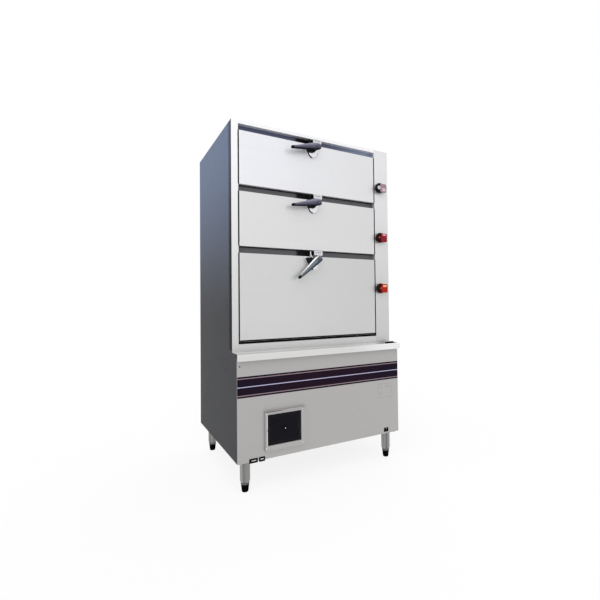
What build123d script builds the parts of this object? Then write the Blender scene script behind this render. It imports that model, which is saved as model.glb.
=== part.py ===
from build123d import *
import os

# Steam cabinet: three insulated chambers with drop-down doors, on a base that holds
# the water tank, the burner and its blower. Sizes are in millimetres.
# X runs to the right seen from the front, Y to the back, Z up.
# The origin is on the floor, under the middle of the whole cabinet.

# Overall sizes
cabinet_width = 1000.0
base_depth = 800.0
upper_setback = 75.0
leg_height = 160.0
base_height = 534.0

# Sheet and tube
skin = 1.2
frame_sheet = 1.5
liner_sheet = 1.0
tube = 40.0
tube_wall = 2.0
floor_plate = 2.0
touch_gap = 0.3
running_gap = 0.05

# Front frame and doors
stile_left_width = 36.0
stile_right_width = 103.0
sill_height = 40.0
head_height = 18.0
lower_gap = 12.0
band_height = 36.0
head_gap = 33.0
door_height = {"lower": 455.0, "middle": 283.0, "upper": 279.0}
door_side_gap = 5.0
seat_recess = 27.0
mouth_inset = 24.0
seat_overlap = 12.0
door_depth = 22.0
door_pivot_in = 6.0
door_pivot_up = 12.0
plug_depth = 30.0
plug_clearance = 8.0
gasket_inset = 13.0
gasket_width = 9.0
flange_inset = 2.0
hinge_pin_radius = 4.0
hinge_pin_length = 34.0
hinge_head = 2.0
hinge_head_rim = 0.4
hinge_block_length = 22.0
hinge_block_height = 22.0
hinge_block_side = 14.0

# Chambers
chamber_margin = 6.0
back_insulation = 60.0
right_insulation = 21.0
runner_flange = 20.0
runner_sheet = 1.5
shelf_rise = 40.0
lower_shelf_step = 180.0
shelf_bar = 8.0
shelf_bar_width = 12.0
shelf_slats = 12
shelf_side_clearance = 2.0
shelf_front_space = 36.0
shelf_back_space = 16.0

# Latches
latch_offset = 15.0
latch_pivot_drop = 18.0
bracket_plate = 4.0
bracket_crown_width = 84.0
bracket_crown_height = 12.0
bracket_crown_shift = -26.0
bracket_bowl_radius = 35.0
bracket_bowl_shift = -14.0
bracket_bowl_drop = 27.0
bracket_boss_radius = 15.0
bracket_standoff = 26.0
latch_pin_radius = 5.0
latch_pin_cap = 9.0
latch_pin_cap_depth = 3.0
lever_reach = 158.0
lever_root_radius = 20.0
lever_tip_radius = 7.0
lever_depth = 18.0
lever_round = 6.0
lever_lift = 1.0
lever_drop = {"lower": 41.0, "middle": 11.0, "upper": 11.0}
keeper_width = 56.0
keeper_margin = 5.0
keeper_reach = 48.0
keeper_base_width = 72.0
keeper_base = 3.0
keeper_shift = 6.5
keeper_round = 6.0
claw_shift = -7.5
claw_inner = 29.0
claw_wall = 6.0
claw_trim = 14.0
claw_depth = 16.0

# Steam valves and pipes
valve_inset = 73.0
valve_rise = {"lower": 280.0, "middle": 102.0, "upper": 92.0}
valve_set_in = 87.0
bonnet_radius = 20.0
bonnet_reach = 8.0
bonnet_flange_radius = 26.0
bonnet_flange = 4.0
valve_body_radius = 19.0
valve_body_length = 40.0
stem_radius = 6.0
stem_bury = 34.0
handle_hub_radius = 30.0
handle_depth = 16.0
handle_reach = 47.0
handle_end_radius = 27.0
handle_round = 5.0
handle_lift = 2.0
riser_behind = 60.0
riser_radius = 17.0
riser_wall = 2.5
riser_cap_rise = 50.0
branch_radius = 8.0
branch_wall = 1.5
spreader_radius = 11.0
spreader_length = 50.0
spreader_gap = 22.0

# Gutter in front of the chambers
lip_proud = 26.0
lip_height = 34.0
lip_width = 16.0
lip_round = 7.0
trough_depth = 18.0
gutter_sheet = 1.5
slot_length = 50.0
slot_width = 20.0
drain_inset = 60.0
wall_drop = 1.0
drain_radius = 11.0
sump_depth = 14.0

# Base front
stripe_rise = 324.0
stripe_height = 100.0
stripe_sheet = 0.6
stripe_end_gap = 1.0
window_inset = 152.0
window_width = 187.0
window_rise = 66.0
window_height = 155.0
frame_left = 12.0
frame_right = 26.0
frame_below = 25.0
frame_above = 18.0
frame_depth = 14.0
frame_screw_drop = 7.0
ledge_height = 4.0
ledge_reach = 8.0
flap_gap = 2.0
flap_plate = 2.0
flap_rim = 8.0
flap_set_in = 5.0
flap_pin_radius = 2.5
flap_pin_length = 5.0
flap_pin_drop = 4.0
knob_radius = 8.0
knob_reach = 11.0
knob_neck_radius = 4.0
knob_neck = 4.0
knob_round = 2.0

# Base frame, tank, burner, blower, flue
tank_side_gap = 170.0
tank_front_gap = 72.0
tank_back_gap = 113.0
tank_rise = 246.0
tank_top_gap = 48.0
tank_sheet = 3.0
bearer_inset = 80.0
burner_length = 280.0
burner_width = 160.0
burner_rise = 161.0
burner_height = 65.0
burner_front_gap = 222.0
burner_port_radius = 5.0
burner_port_rows = 9
burner_ports_in_row = 5
burner_port_depth = 12.0
burner_leg = 20.0
burner_leg_inset = 40.0
burner_edge = 20.0
blower_gap = 210.0
blower_inset = 250.0
blower_rise = 124.0
blower_front_gap = 262.0
blower_width = 80.0
blower_radius = 100.0
blower_sheet = 2.0
blower_inlet = 50.0
duct_width = 60.0
duct_inset = 10.0
motor_radius = 45.0
motor_length = 85.0
wheel_radius = 80.0
wheel_width = 56.0
wheel_hub_radius = 18.0
wheel_blades = 18
blade_sheet = 2.0
blade_depth = 22.0
blade_margin = 1.0
shaft_radius = 6.0
shaft_bury = 40.0
pedestal_width = 90.0
pedestal_sink = 20.0
flue_half_width = 60.0
flue_rise = 256.0
flue_height = 180.0
flue_sheet = 1.5
spigot_radius = 45.0
spigot_rise = 376.0
spigot_collar = 3.0
spigot_collar_rim = 5.0

# Pipes and gland at the back
rear_reach = 30.0
pipe_radius = 10.5
pipe_bore = 8.0
pipe_collar = 5.0
pipe_collar_rim = 6.0
tank_pipe_inset = 130.0
feed_rise = 416.0
tank_drain_rise = 266.0
gas_rise = 191.0
gutter_drain_rise = 66.0
gland_offset = 50.0
gland_rise = 116.0
gland_radius = 14.0
gland_bore = 5.0
gland_nut = 10.0
gland_nut_rim = 2.0
gland_reach = 24.0

# Legs and feet
leg_inset_side = 56.0
leg_inset_front = 56.0
leg_inset_rear = 84.0
leg_radius = 25.5
leg_wall = 1.5
leg_plate = 5.0
leg_plate_width = 90.0
leg_neck_radius = 22.5
leg_neck = 8.0
leg_plug = 24.0
foot_height = 50.0
foot_top_radius = 22.0
foot_sole_radius = 16.0
foot_round = 5.0
foot_stem_radius = 8.0
foot_stem = 30.0

# Screws
screw_head_radius = 5.0
screw_head = 2.5
screw_radius = 2.0
screw_edge = 20.0
back_screw_rows = 6
bolt_radius = 4.0
bolt_head_radius = 6.5
bolt_head = 4.0
bolt_offset = 36.0

# Places worked out from the sizes above
half_width = cabinet_width / 2
base_front = -(base_depth + lip_proud + rear_reach) / 2 + lip_proud
rear = base_front + base_depth
face = base_front + upper_setback
lip_front = base_front - lip_proud
base_bottom = leg_height
upper_bottom = leg_height + base_height
door_names = ["lower", "middle", "upper"]
door_bottom = {"lower": upper_bottom + sill_height + lower_gap}
door_bottom["middle"] = door_bottom["lower"] + door_height["lower"] + band_height
door_bottom["upper"] = door_bottom["middle"] + door_height["middle"] + band_height
door_top = {name: door_bottom[name] + door_height[name] for name in door_names}
opening_top = door_top["upper"] + head_gap
opening_bottom = upper_bottom + sill_height
cabinet_top = opening_top + head_height
opening_left = -half_width + stile_left_width
opening_right = half_width - stile_right_width
door_left = opening_left + door_side_gap
door_right = opening_right - door_side_gap
seat = face + seat_recess
seat_back = seat + frame_sheet
mouth_left = door_left + mouth_inset
mouth_right = door_right - mouth_inset
liner_left = mouth_left - chamber_margin
liner_right = mouth_right + chamber_margin
liner_back = rear - skin - back_insulation
chamber_floor = {name: door_bottom[name] + mouth_inset - chamber_margin for name in door_names}
chamber_roof = {name: door_top[name] - mouth_inset + chamber_margin for name in door_names}
latch_centre_x = (door_left + door_right) / 2 + latch_offset
valve_x = half_width - valve_inset
valve_z = {name: door_bottom[name] + valve_rise[name] for name in door_names}
spreader_x = liner_right - spreader_gap
drain_x = half_width - drain_inset
insulation_right = liner_right + liner_sheet + right_insulation
pivot_y = face + door_pivot_in
valve_y = face + valve_set_in
riser_y = valve_y + riser_behind
skin_back = face + door_depth
flange_back = skin_back + liner_sheet
lever_back = face - bracket_standoff - lever_lift
lever_front = lever_back - lever_depth
handle_back = face - bonnet_reach - handle_lift
frame_face = base_front - frame_depth
flap_face = frame_face + flap_set_in
window_left = -half_width + window_inset
window_right = window_left + window_width
window_bottom = base_bottom + window_rise
window_top = window_bottom + window_height
flap_pivot_y = flap_face + flap_rim / 2
flap_pivot_z = window_top - flap_gap - flap_pin_drop
stripe_bottom = base_bottom + stripe_rise
tank_half_width = half_width - tank_side_gap
tank_front = base_front + tank_front_gap
tank_back = rear - tank_back_gap
tank_bottom = base_bottom + tank_rise
tank_top = upper_bottom - tank_top_gap
bearer_front = tank_front + bearer_inset
bearer_back = tank_back - bearer_inset
blower_x = half_width - blower_inset
blower_z = base_bottom + blower_rise
blower_y = (base_front + blower_front_gap, base_front + blower_front_gap + blower_width)
burner_x = (blower_x - blower_gap - burner_length, blower_x - blower_gap)
burner_y = (base_front + burner_front_gap, base_front + burner_front_gap + burner_width)
burner_z = (base_bottom + burner_rise, base_bottom + burner_rise + burner_height)
flue_z = (base_bottom + flue_rise, base_bottom + flue_rise + flue_height)
spigot_z = base_bottom + spigot_rise
feed_x = tank_half_width - tank_pipe_inset
feed_z = base_bottom + feed_rise
tank_drain_x = tank_pipe_inset - tank_half_width
tank_drain_z = base_bottom + tank_drain_rise
gas_x = (burner_x[0] + burner_x[1]) / 2
gas_z = base_bottom + gas_rise
gutter_drain_z = base_bottom + gutter_drain_rise
gland_x = blower_x + gland_offset
gland_z = base_bottom + gland_rise
leg_places = [
    (x, y)
    for y in (base_front + leg_inset_front, rear - leg_inset_rear)
    for x in (-half_width + leg_inset_side, half_width - leg_inset_side)
]
leg_names = ["front_left", "front_right", "rear_left", "rear_right"]
parts = {}


def block(x, y, z):
    """A box from its low and high values along each axis."""
    size = [span[1] - span[0] for span in (x, y, z)]
    middle = [(span[1] + span[0]) / 2 for span in (x, y, z)]
    return Pos(*middle) * Box(*size)


def rod_x(x, y, z, radius):
    return Pos((x[0] + x[1]) / 2, y, z) * Rot(0, 90, 0) * Cylinder(radius, x[1] - x[0])


def rod_y(x, y, z, radius):
    return Pos(x, (y[0] + y[1]) / 2, z) * Rot(90, 0, 0) * Cylinder(radius, y[1] - y[0])


def rod_z(x, y, z, radius):
    return Pos(x, y, (z[0] + z[1]) / 2) * Cylinder(radius, z[1] - z[0])


def facing_plane(x, y, z):
    """A drawing plane that faces the front: its own x is X and its own y is Z."""
    return Plane((x, y, z), x_dir=(1, 0, 0), z_dir=(0, -1, 0))


def grouped(solids):
    """Separate solids that make one node."""
    return Compound(children=solids)


def square_tube(x, y, z):
    """A square tube along its longest side, open at both ends."""
    spans = [x, y, z]
    lengths = [span[1] - span[0] for span in spans]
    long_axis = lengths.index(max(lengths))
    inner = []
    for axis, span in enumerate(spans):
        wall = 0 if axis == long_axis else tube_wall
        inner.append((span[0] + wall, span[1] - wall))
    return block(*spans) - block(*inner)


def between(low, high, count):
    step = (high - low) / (count - 1)
    return [low + step * number for number in range(count)]


back_screw_places = [
    (side * (half_width - screw_edge), z)
    for side in (-1, 1)
    for z in between(base_bottom + screw_edge, cabinet_top - screw_edge, back_screw_rows)
]
frame_screw_places = [
    (x, z)
    for x in (window_left - frame_left / 2, window_right + frame_left / 2)
    for z in (window_bottom - frame_left, window_top + frame_screw_drop)
]


# Outer skins
def make_side_panel(side):
    """One sheet, deeper at the base, with the step under the chambers."""
    inner = side * (half_width - skin)
    outer = side * half_width
    outline = Polyline(
        (base_front + skin, base_bottom),
        (rear, base_bottom),
        (rear, cabinet_top),
        (face + frame_sheet, cabinet_top),
        (face + frame_sheet, upper_bottom),
        (base_front + skin, upper_bottom),
        close=True,
    )
    plane = Plane((min(inner, outer), 0, 0), x_dir=(0, 1, 0), z_dir=(1, 0, 0))
    return extrude(plane * make_face(outline), amount=skin)


def make_back_panel():
    panel = block(
        (-half_width + skin, half_width - skin), (rear - skin, rear), (base_bottom, cabinet_top)
    )
    cut = (rear - 2 * skin, rear + skin)
    for x, z, radius in (
        (0, spigot_z, spigot_radius),
        (feed_x, feed_z, pipe_radius),
        (tank_drain_x, tank_drain_z, pipe_radius),
        (gas_x, gas_z, pipe_radius),
        (drain_x, gutter_drain_z, drain_radius),
        (gland_x, gland_z, gland_radius - gland_bore / 2),
    ):
        panel -= rod_y(x, cut, z, radius + touch_gap)
    for x, z in back_screw_places:
        panel -= rod_y(x, cut, z, screw_radius + running_gap)
    return panel


def make_top_panel():
    return block(
        (-half_width + skin, half_width - skin),
        (face + frame_sheet, rear - skin),
        (cabinet_top - skin, cabinet_top),
    )


parts["side_panel_left"] = make_side_panel(-1)
parts["side_panel_right"] = make_side_panel(1)
parts["back_panel"] = make_back_panel()
parts["top_panel"] = make_top_panel()


# Front frame: two stiles, head and sill, each with a return back to the seat
def make_stile(side):
    opening = opening_left if side < 0 else opening_right
    outer = side * half_width
    returned = opening + side * frame_sheet
    stile = block(
        (min(outer, opening), max(outer, opening)),
        (face, face + frame_sheet),
        (upper_bottom, cabinet_top),
    )
    stile += block(
        (min(returned, opening), max(returned, opening)), (face, seat), (upper_bottom, cabinet_top - skin)
    )
    for name in door_names:
        hole_x = (opening - 2 * frame_sheet, opening + 2 * frame_sheet)
        hole_z = door_bottom[name] + door_pivot_up
        stile -= rod_x(hole_x, pivot_y, hole_z, hinge_pin_radius + running_gap)
        if side > 0:
            hole_y = (face - frame_sheet, face + 2 * frame_sheet)
            stile -= rod_y(valve_x, hole_y, valve_z[name], bonnet_radius + touch_gap)
    return stile


def make_cross_rail(low, high, opening_edge):
    """A rail between the stiles, with its return at the opening."""
    returned = opening_edge + frame_sheet if opening_edge == low else opening_edge - frame_sheet
    rail = block((opening_left, opening_right), (face, face + frame_sheet), (low, high))
    rail += block(
        (opening_left, opening_right),
        (face, seat),
        (min(returned, opening_edge), max(returned, opening_edge)),
    )
    return rail


parts["stile_left"] = make_stile(-1)
parts["stile_right"] = make_stile(1)
parts["head_rail"] = make_cross_rail(opening_top, cabinet_top, opening_top)
parts["sill_rail"] = make_cross_rail(upper_bottom, opening_bottom, opening_bottom)


# Recessed seat that the gaskets close on: two jambs and four rails
def make_seat_frame():
    depth = (seat, seat_back)
    height = (opening_bottom - seat_overlap, opening_top + seat_overlap / 2)
    jamb_right = valve_x - bonnet_radius - touch_gap
    solids = [
        block((opening_left - seat_overlap, mouth_left), depth, height),
        block((mouth_right, jamb_right), depth, height),
    ]
    rail_low = height[0]
    for name in door_names:
        solids.append(block((mouth_left, mouth_right), depth, (rail_low, door_bottom[name] + mouth_inset)))
        rail_low = door_top[name] - mouth_inset
    solids.append(block((mouth_left, mouth_right), depth, (rail_low, height[1])))
    return grouped(solids)


parts["seat_frame"] = make_seat_frame()


# Chamber liner: side and back walls with the runners on them, floors and roofs
def shelf_levels():
    levels = []
    for name in door_names:
        level = chamber_floor[name] + shelf_rise
        levels.append(level)
        if name == "lower":
            levels.append(level + lower_shelf_step)
    return levels


def make_liner_walls():
    low = chamber_floor["lower"] - liner_sheet
    high = chamber_roof["upper"] + liner_sheet
    depth = (seat_back, liner_back)
    right = block((liner_right, liner_right + liner_sheet), depth, (low, high))
    for name in door_names:
        hole_x = (liner_right - liner_sheet, liner_right + 2 * liner_sheet)
        right -= rod_x(hole_x, valve_y, valve_z[name], branch_radius + touch_gap)
    back = block(
        (liner_left - liner_sheet, liner_right + liner_sheet),
        (liner_back, liner_back + liner_sheet),
        (low, high),
    )
    solids = [block((liner_left - liner_sheet, liner_left), depth, (low, high)), right, back]
    runner_y = (seat_back + shelf_front_space, liner_back - shelf_back_space)
    for level in shelf_levels():
        for wall, side in ((liner_left, 1), (liner_right, -1)):
            upright = sorted((wall, wall + side * runner_sheet))
            ledge = sorted((wall, wall + side * runner_flange))
            runner = block(upright, runner_y, (level - runner_flange, level))
            solids.append(runner + block(ledge, runner_y, (level - runner_sheet, level)))
    return grouped(solids)


def make_chamber_floors():
    solids = []
    for name in door_names:
        top = chamber_floor[name]
        solids.append(block((liner_left, liner_right), (seat_back, liner_back), (top - liner_sheet, top)))
    return grouped(solids)


def make_chamber_roofs():
    solids = []
    for name in door_names:
        low = chamber_roof[name]
        solids.append(block((liner_left, liner_right), (seat_back, liner_back), (low, low + liner_sheet)))
    return grouped(solids)


def make_shelf_grid(level):
    """A flat grid of bars that rests on two runners."""
    x = (liner_left + shelf_side_clearance, liner_right - shelf_side_clearance)
    y = (seat_back + shelf_front_space, liner_back - shelf_back_space)
    z = (level, level + shelf_bar)
    inner_x = (x[0] + shelf_bar_width, x[1] - shelf_bar_width)
    inner_y = (y[0] + shelf_bar_width, y[1] - shelf_bar_width)
    grid = block(x, y, z) - block(inner_x, inner_y, z)
    for place in between(x[0], x[1], shelf_slats + 2)[1:-1]:
        slat = (place - shelf_bar_width / 4, place + shelf_bar_width / 4)
        grid += block(slat, y, z)
    return grid


def make_body_insulation():
    """Slabs between the liner and the skins, and between one chamber and the next."""
    low = upper_bottom + floor_plate
    high = cabinet_top - skin
    depth = (seat_back, liner_back + liner_sheet)
    left = block((-half_width + skin, liner_left - liner_sheet), depth, (low, high))
    right = block((liner_right + liner_sheet, insulation_right), depth, (low, high))
    for name in door_names:
        hole_x = (liner_right, insulation_right + liner_sheet)
        right -= rod_x(hole_x, valve_y, valve_z[name], branch_radius + touch_gap)
    back = block(
        (-half_width + skin, insulation_right), (liner_back + liner_sheet, rear - skin), (low, high)
    )
    solids = [left, right, back]
    slab_low = low
    for name in door_names:
        slab_high = chamber_floor[name] - liner_sheet
        solids.append(block((liner_left, liner_right), (seat_back, liner_back), (slab_low, slab_high)))
        slab_low = chamber_roof[name] + liner_sheet
    solids.append(block((liner_left, liner_right), (seat_back, liner_back), (slab_low, high)))
    return grouped(solids)


parts["liner_walls"] = make_liner_walls()
parts["chamber_floors"] = make_chamber_floors()
parts["chamber_roofs"] = make_chamber_roofs()
parts["shelf_grids"] = grouped([make_shelf_grid(level) for level in shelf_levels()])
parts["body_insulation"] = make_body_insulation()


# Doors: outer skin with its hinge blocks, core slab, inner pan and gasket
def make_door_skin(name):
    low = door_bottom[name]
    x = (door_left, door_right)
    z = (low, door_top[name])
    shell = block(x, (face, skin_back), z)
    shell -= block((x[0] + skin, x[1] - skin), (face + skin, skin_back), (z[0] + skin, z[1] - skin))
    pivot_z = low + door_pivot_up
    block_z = (low + skin / 2, low + skin / 2 + hinge_block_height)
    block_y = (face + skin / 2, face + skin / 2 + hinge_block_side)
    for edge, side in ((door_left, 1), (door_right, -1)):
        block_x = sorted((edge, edge + side * hinge_block_length))
        shell += block(block_x, block_y, block_z)
        bore_x = (block_x[0] - skin, block_x[1] + skin)
        shell -= rod_x(bore_x, pivot_y, pivot_z, hinge_pin_radius + running_gap)
    return shell


def plug_ranges(name, shrink):
    side = plug_clearance + shrink
    x = (mouth_left + side, mouth_right - side)
    z = (door_bottom[name] + mouth_inset + side, door_top[name] - mouth_inset - side)
    return x, z


def make_door_inner(name):
    """A flange on the back of the skin with a raised pan that enters the chamber."""
    x = (door_left + flange_inset, door_right - flange_inset)
    z = (door_bottom[name] + flange_inset, door_top[name] - flange_inset)
    plug_x, plug_z = plug_ranges(name, 0)
    hollow_x, hollow_z = plug_ranges(name, liner_sheet)
    pan = block(x, (skin_back, flange_back), z)
    pan += block(plug_x, (skin_back, flange_back + plug_depth), plug_z)
    return pan - block(hollow_x, (skin_back, flange_back + plug_depth - liner_sheet), hollow_z)


def make_door_core(name):
    x = (door_left + skin, door_right - skin)
    z = (door_bottom[name] + skin / 2 + hinge_block_height, door_top[name] - skin)
    hollow_x, hollow_z = plug_ranges(name, liner_sheet)
    core = block(x, (face + skin, skin_back), z)
    return core + block(hollow_x, (face + skin, flange_back + plug_depth - liner_sheet), hollow_z)


def make_door_gasket(name):
    depth = (flange_back, seat - touch_gap)
    x = (door_left + gasket_inset, door_right - gasket_inset)
    z = (door_bottom[name] + gasket_inset, door_top[name] - gasket_inset)
    inner_x = (x[0] + gasket_width, x[1] - gasket_width)
    inner_z = (z[0] + gasket_width, z[1] - gasket_width)
    return block(x, depth, z) - block(inner_x, depth, inner_z)


def make_hinge_pins():
    """Headed pins that stand in the stiles and carry the door's lower corners."""
    solids = []
    for name in door_names:
        pivot_z = door_bottom[name] + door_pivot_up
        for opening, side in ((opening_left, 1), (opening_right, -1)):
            behind = opening - side * frame_sheet
            pin_x = sorted((behind, behind + side * hinge_pin_length))
            head_x = sorted((behind - side * hinge_head, behind))
            pin = rod_x(pin_x, pivot_y, pivot_z, hinge_pin_radius)
            solids.append(pin + rod_x(head_x, pivot_y, pivot_z, hinge_pin_radius + hinge_head_rim))
    return grouped(solids)


# Latches: keeper on the band above the door, bracket and lever on the door
def keeper_height(name):
    low = door_top[name] + keeper_margin
    band = head_gap if name == "upper" else band_height
    return low, door_top[name] + band - keeper_margin


def claw_centre(name):
    low, high = keeper_height(name)
    return latch_centre_x + claw_shift, (low + high) / 2


def make_keeper(name):
    """A base plate on the recessed band with a rounded tongue that reaches forward."""
    low, high = keeper_height(name)
    centre_x = latch_centre_x + keeper_shift
    base_x = (centre_x - keeper_base_width / 2, centre_x + keeper_base_width / 2)
    keeper = block(base_x, (seat - keeper_base, seat), (low, high))
    shape = RectangleRounded(keeper_width, high - low, keeper_round)
    plane = facing_plane(centre_x, seat - keeper_base, (low + high) / 2)
    return keeper + extrude(plane * shape, amount=keeper_reach - keeper_base)


def make_latch_bracket(name):
    """A plate with a wide crown and a round bowl, the pivot boss and the claw round the keeper."""
    pivot_z = door_top[name] - latch_pivot_drop
    plate_plane = facing_plane(latch_centre_x, face, pivot_z)
    crown_rise = latch_pivot_drop - 2 * flange_inset - bracket_crown_height / 2
    crown = Rectangle(bracket_crown_width, bracket_crown_height)
    crown = Pos(bracket_crown_shift, crown_rise) * crown
    bowl = Pos(bracket_bowl_shift, -bracket_bowl_drop) * Circle(bracket_bowl_radius)
    bracket = extrude(plate_plane * make_hull(crown.edges() + bowl.edges()), amount=bracket_plate)
    bracket += rod_y(latch_centre_x, (face - bracket_standoff, face), pivot_z, bracket_boss_radius)
    pin_front = lever_front - lever_lift
    bracket += rod_y(latch_centre_x, (pin_front, face), pivot_z, latch_pin_radius)
    cap_y = (pin_front - latch_pin_cap_depth, pin_front)
    bracket += rod_y(latch_centre_x, cap_y, pivot_z, latch_pin_cap)
    centre_x, centre_z = claw_centre(name)
    ring = Circle(claw_inner + claw_wall) - Circle(claw_inner)
    reach = 2 * (claw_inner + claw_wall)
    kept = Rot(0, 0, 45) * Pos(-reach / 2 - claw_trim, 0) * Rectangle(reach, reach)
    claw_plane = facing_plane(centre_x, face, centre_z)
    claw = extrude(claw_plane * (ring & kept), amount=claw_depth)
    return bracket + claw


def make_latch_lever(name):
    pivot_z = door_top[name] - latch_pivot_drop
    plane = facing_plane(latch_centre_x, lever_back, pivot_z)
    root = Circle(lever_root_radius)
    tip = Pos(-lever_reach, 0) * Circle(lever_tip_radius)
    outline = make_hull(root.edges() + tip.edges())
    lever = extrude(plane * (Rot(0, 0, lever_drop[name]) * outline), amount=lever_depth)
    front_edges = lever.faces().sort_by(Axis.Y)[0].edges()
    lever = fillet(front_edges, lever_round)
    bore_y = (lever_front - lever_lift, lever_back + lever_lift)
    return lever - rod_y(latch_centre_x, bore_y, pivot_z, latch_pin_radius + running_gap)


for door in door_names:
    parts[f"door_{door}_skin"] = make_door_skin(door)
    parts[f"door_{door}_core"] = make_door_core(door)
    parts[f"door_{door}_inner"] = make_door_inner(door)
    parts[f"door_{door}_gasket"] = make_door_gasket(door)
    parts[f"latch_bracket_{door}"] = make_latch_bracket(door)
    parts[f"latch_lever_{door}"] = make_latch_lever(door)
parts["hinge_pins"] = make_hinge_pins()
parts["keepers"] = grouped([make_keeper(name) for name in door_names])


# Steam: riser from the tank, a valve and a spreader for each chamber
def make_valve_body(name):
    z = valve_z[name]
    body_x = (valve_x - valve_body_length / 2, valve_x + valve_body_length / 2)
    body = rod_x(body_x, valve_y, z, valve_body_radius)
    body += rod_y(valve_x, (face - bonnet_reach, valve_y), z, bonnet_radius)
    body += rod_y(valve_x, (face - bonnet_flange, face), z, bonnet_flange_radius)
    bore_y = (face - bonnet_reach - touch_gap, face - bonnet_reach + stem_bury + touch_gap)
    return body - rod_y(valve_x, bore_y, z, stem_radius + running_gap)


def make_valve_handle(name):
    """A stem with a rounded wing that points to the right when the valve is shut."""
    z = valve_z[name]
    plane = facing_plane(valve_x, handle_back, z)
    hub = Circle(handle_hub_radius)
    wing = Pos(handle_reach - handle_end_radius, 0) * Circle(handle_end_radius)
    handle = extrude(plane * make_hull(hub.edges() + wing.edges()), amount=handle_depth)
    handle = fillet(handle.faces().sort_by(Axis.Y)[0].edges(), handle_round)
    return handle + rod_y(valve_x, (handle_back, face - bonnet_reach + stem_bury), z, stem_radius)


def make_steam_pipework():
    run_z = tank_top - tube
    low = run_z - riser_radius
    high = valve_z["upper"] + riser_cap_rise
    riser = rod_z(valve_x, riser_y, (low, high), riser_radius)
    riser += rod_x((tank_half_width, valve_x), riser_y, run_z, riser_radius)
    branch_y = (valve_y + valve_body_radius, riser_y)
    for name in door_names:
        riser += rod_y(valve_x, branch_y, valve_z[name], branch_radius)
    inside = riser_radius - riser_wall
    riser -= rod_z(valve_x, riser_y, (low + riser_wall, high - riser_wall), inside)
    riser -= rod_x((tank_half_width, valve_x), riser_y, run_z, inside)
    for name in door_names:
        riser -= rod_y(valve_x, branch_y, valve_z[name], branch_radius - branch_wall)
    solids = [riser]
    chamber_side = valve_x - valve_body_length / 2
    for name in door_names:
        spreader_y = (valve_y - spreader_length / 4, valve_y + spreader_length * 3 / 4)
        spreader = rod_x((spreader_x, chamber_side), valve_y, valve_z[name], branch_radius)
        spreader += rod_y(spreader_x, spreader_y, valve_z[name], spreader_radius)
        bore = rod_x((spreader_x, chamber_side), valve_y, valve_z[name], branch_radius - branch_wall)
        bore_y = (spreader_y[0] + branch_wall, spreader_y[1])
        bore += rod_y(spreader_x, bore_y, valve_z[name], spreader_radius - branch_wall)
        solids.append(spreader - bore)
    return grouped(solids)


parts["valve_bodies"] = grouped([make_valve_body(name) for name in door_names])
for door in door_names:
    parts[f"valve_handle_{door}"] = make_valve_handle(door)
parts["steam_pipework"] = make_steam_pipework()


# Gutter along the front, with its rounded lip and the drain slot at the right end
def make_gutter():
    floor_top = upper_bottom - trough_depth
    inner_half = half_width - skin - touch_gap
    back = face - touch_gap
    wall_back = back - gutter_sheet
    lip_back = lip_front + lip_width
    floor_z = (floor_top - gutter_sheet, floor_top)
    gutter = block((-inner_half, inner_half), (lip_back - gutter_sheet, back), floor_z)
    gutter += block((-inner_half, inner_half), (wall_back, back), (floor_z[0], upper_bottom))
    lip = block(
        (-half_width, half_width), (lip_front, lip_back), (upper_bottom - lip_height, upper_bottom)
    )
    top_edges = lip.faces().sort_by(Axis.Z)[-1].edges().filter_by(Axis.X)
    lip = fillet(top_edges, lip_round)
    hollow = block(
        (-half_width + gutter_sheet, half_width - gutter_sheet),
        (lip_front + gutter_sheet, lip_back - gutter_sheet),
        (upper_bottom - lip_height, upper_bottom - lip_round),
    )
    gutter += lip - hollow
    for side in (-1, 1):
        end = sorted((side * inner_half, side * (inner_half - gutter_sheet)))
        gutter += block(end, (lip_back - gutter_sheet, back), (floor_z[0], upper_bottom - wall_drop))
    slot_y = (lip_back + back) / 2
    slot = block(
        (drain_x - slot_length / 2, drain_x + slot_length / 2),
        (slot_y - slot_width / 2, slot_y + slot_width / 2),
        (floor_z[0] - 1, floor_z[1] + 1),
    )
    return gutter - slot


def make_gutter_drain():
    """A sump under the slot and a pipe down and out at the back."""
    slot_y = (lip_front + lip_width + face - touch_gap) / 2
    top = upper_bottom - trough_depth - gutter_sheet
    wall = gutter_sheet
    x = (drain_x - slot_length / 2 - wall, drain_x + slot_length / 2 + wall)
    y = (slot_y - slot_width / 2 - wall, slot_y + slot_width / 2 + wall)
    low = top - sump_depth
    pipe_out = (slot_y, rear + rear_reach)
    drain = block(x, y, (low, top))
    drain += rod_z(drain_x, slot_y, (gutter_drain_z - drain_radius, low), drain_radius)
    drain += rod_y(drain_x, pipe_out, gutter_drain_z, drain_radius)
    drain += rod_y(drain_x, (rear, rear + pipe_collar), gutter_drain_z, drain_radius + pipe_collar_rim)
    inside = drain_radius - wall
    drain -= block((x[0] + wall, x[1] - wall), (y[0] + wall, y[1] - wall), (low + wall, top))
    drain -= rod_z(drain_x, slot_y, (gutter_drain_z - inside, low + wall), inside)
    return drain - rod_y(drain_x, pipe_out, gutter_drain_z, inside)


def make_tank_pipe(x, z, start):
    pipe = rod_y(x, (start, rear + rear_reach), z, pipe_radius)
    pipe += rod_y(x, (rear, rear + pipe_collar), z, pipe_radius + pipe_collar_rim)
    return pipe - rod_y(x, (start, rear + rear_reach), z, pipe_bore)


parts["gutter"] = make_gutter()
parts["water_pipes"] = grouped(
    [
        make_gutter_drain(),
        make_tank_pipe(feed_x, feed_z, tank_back),
        make_tank_pipe(tank_drain_x, tank_drain_z, tank_back),
    ]
)
parts["gas_pipe"] = make_tank_pipe(gas_x, gas_z, burner_y[1])


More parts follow.
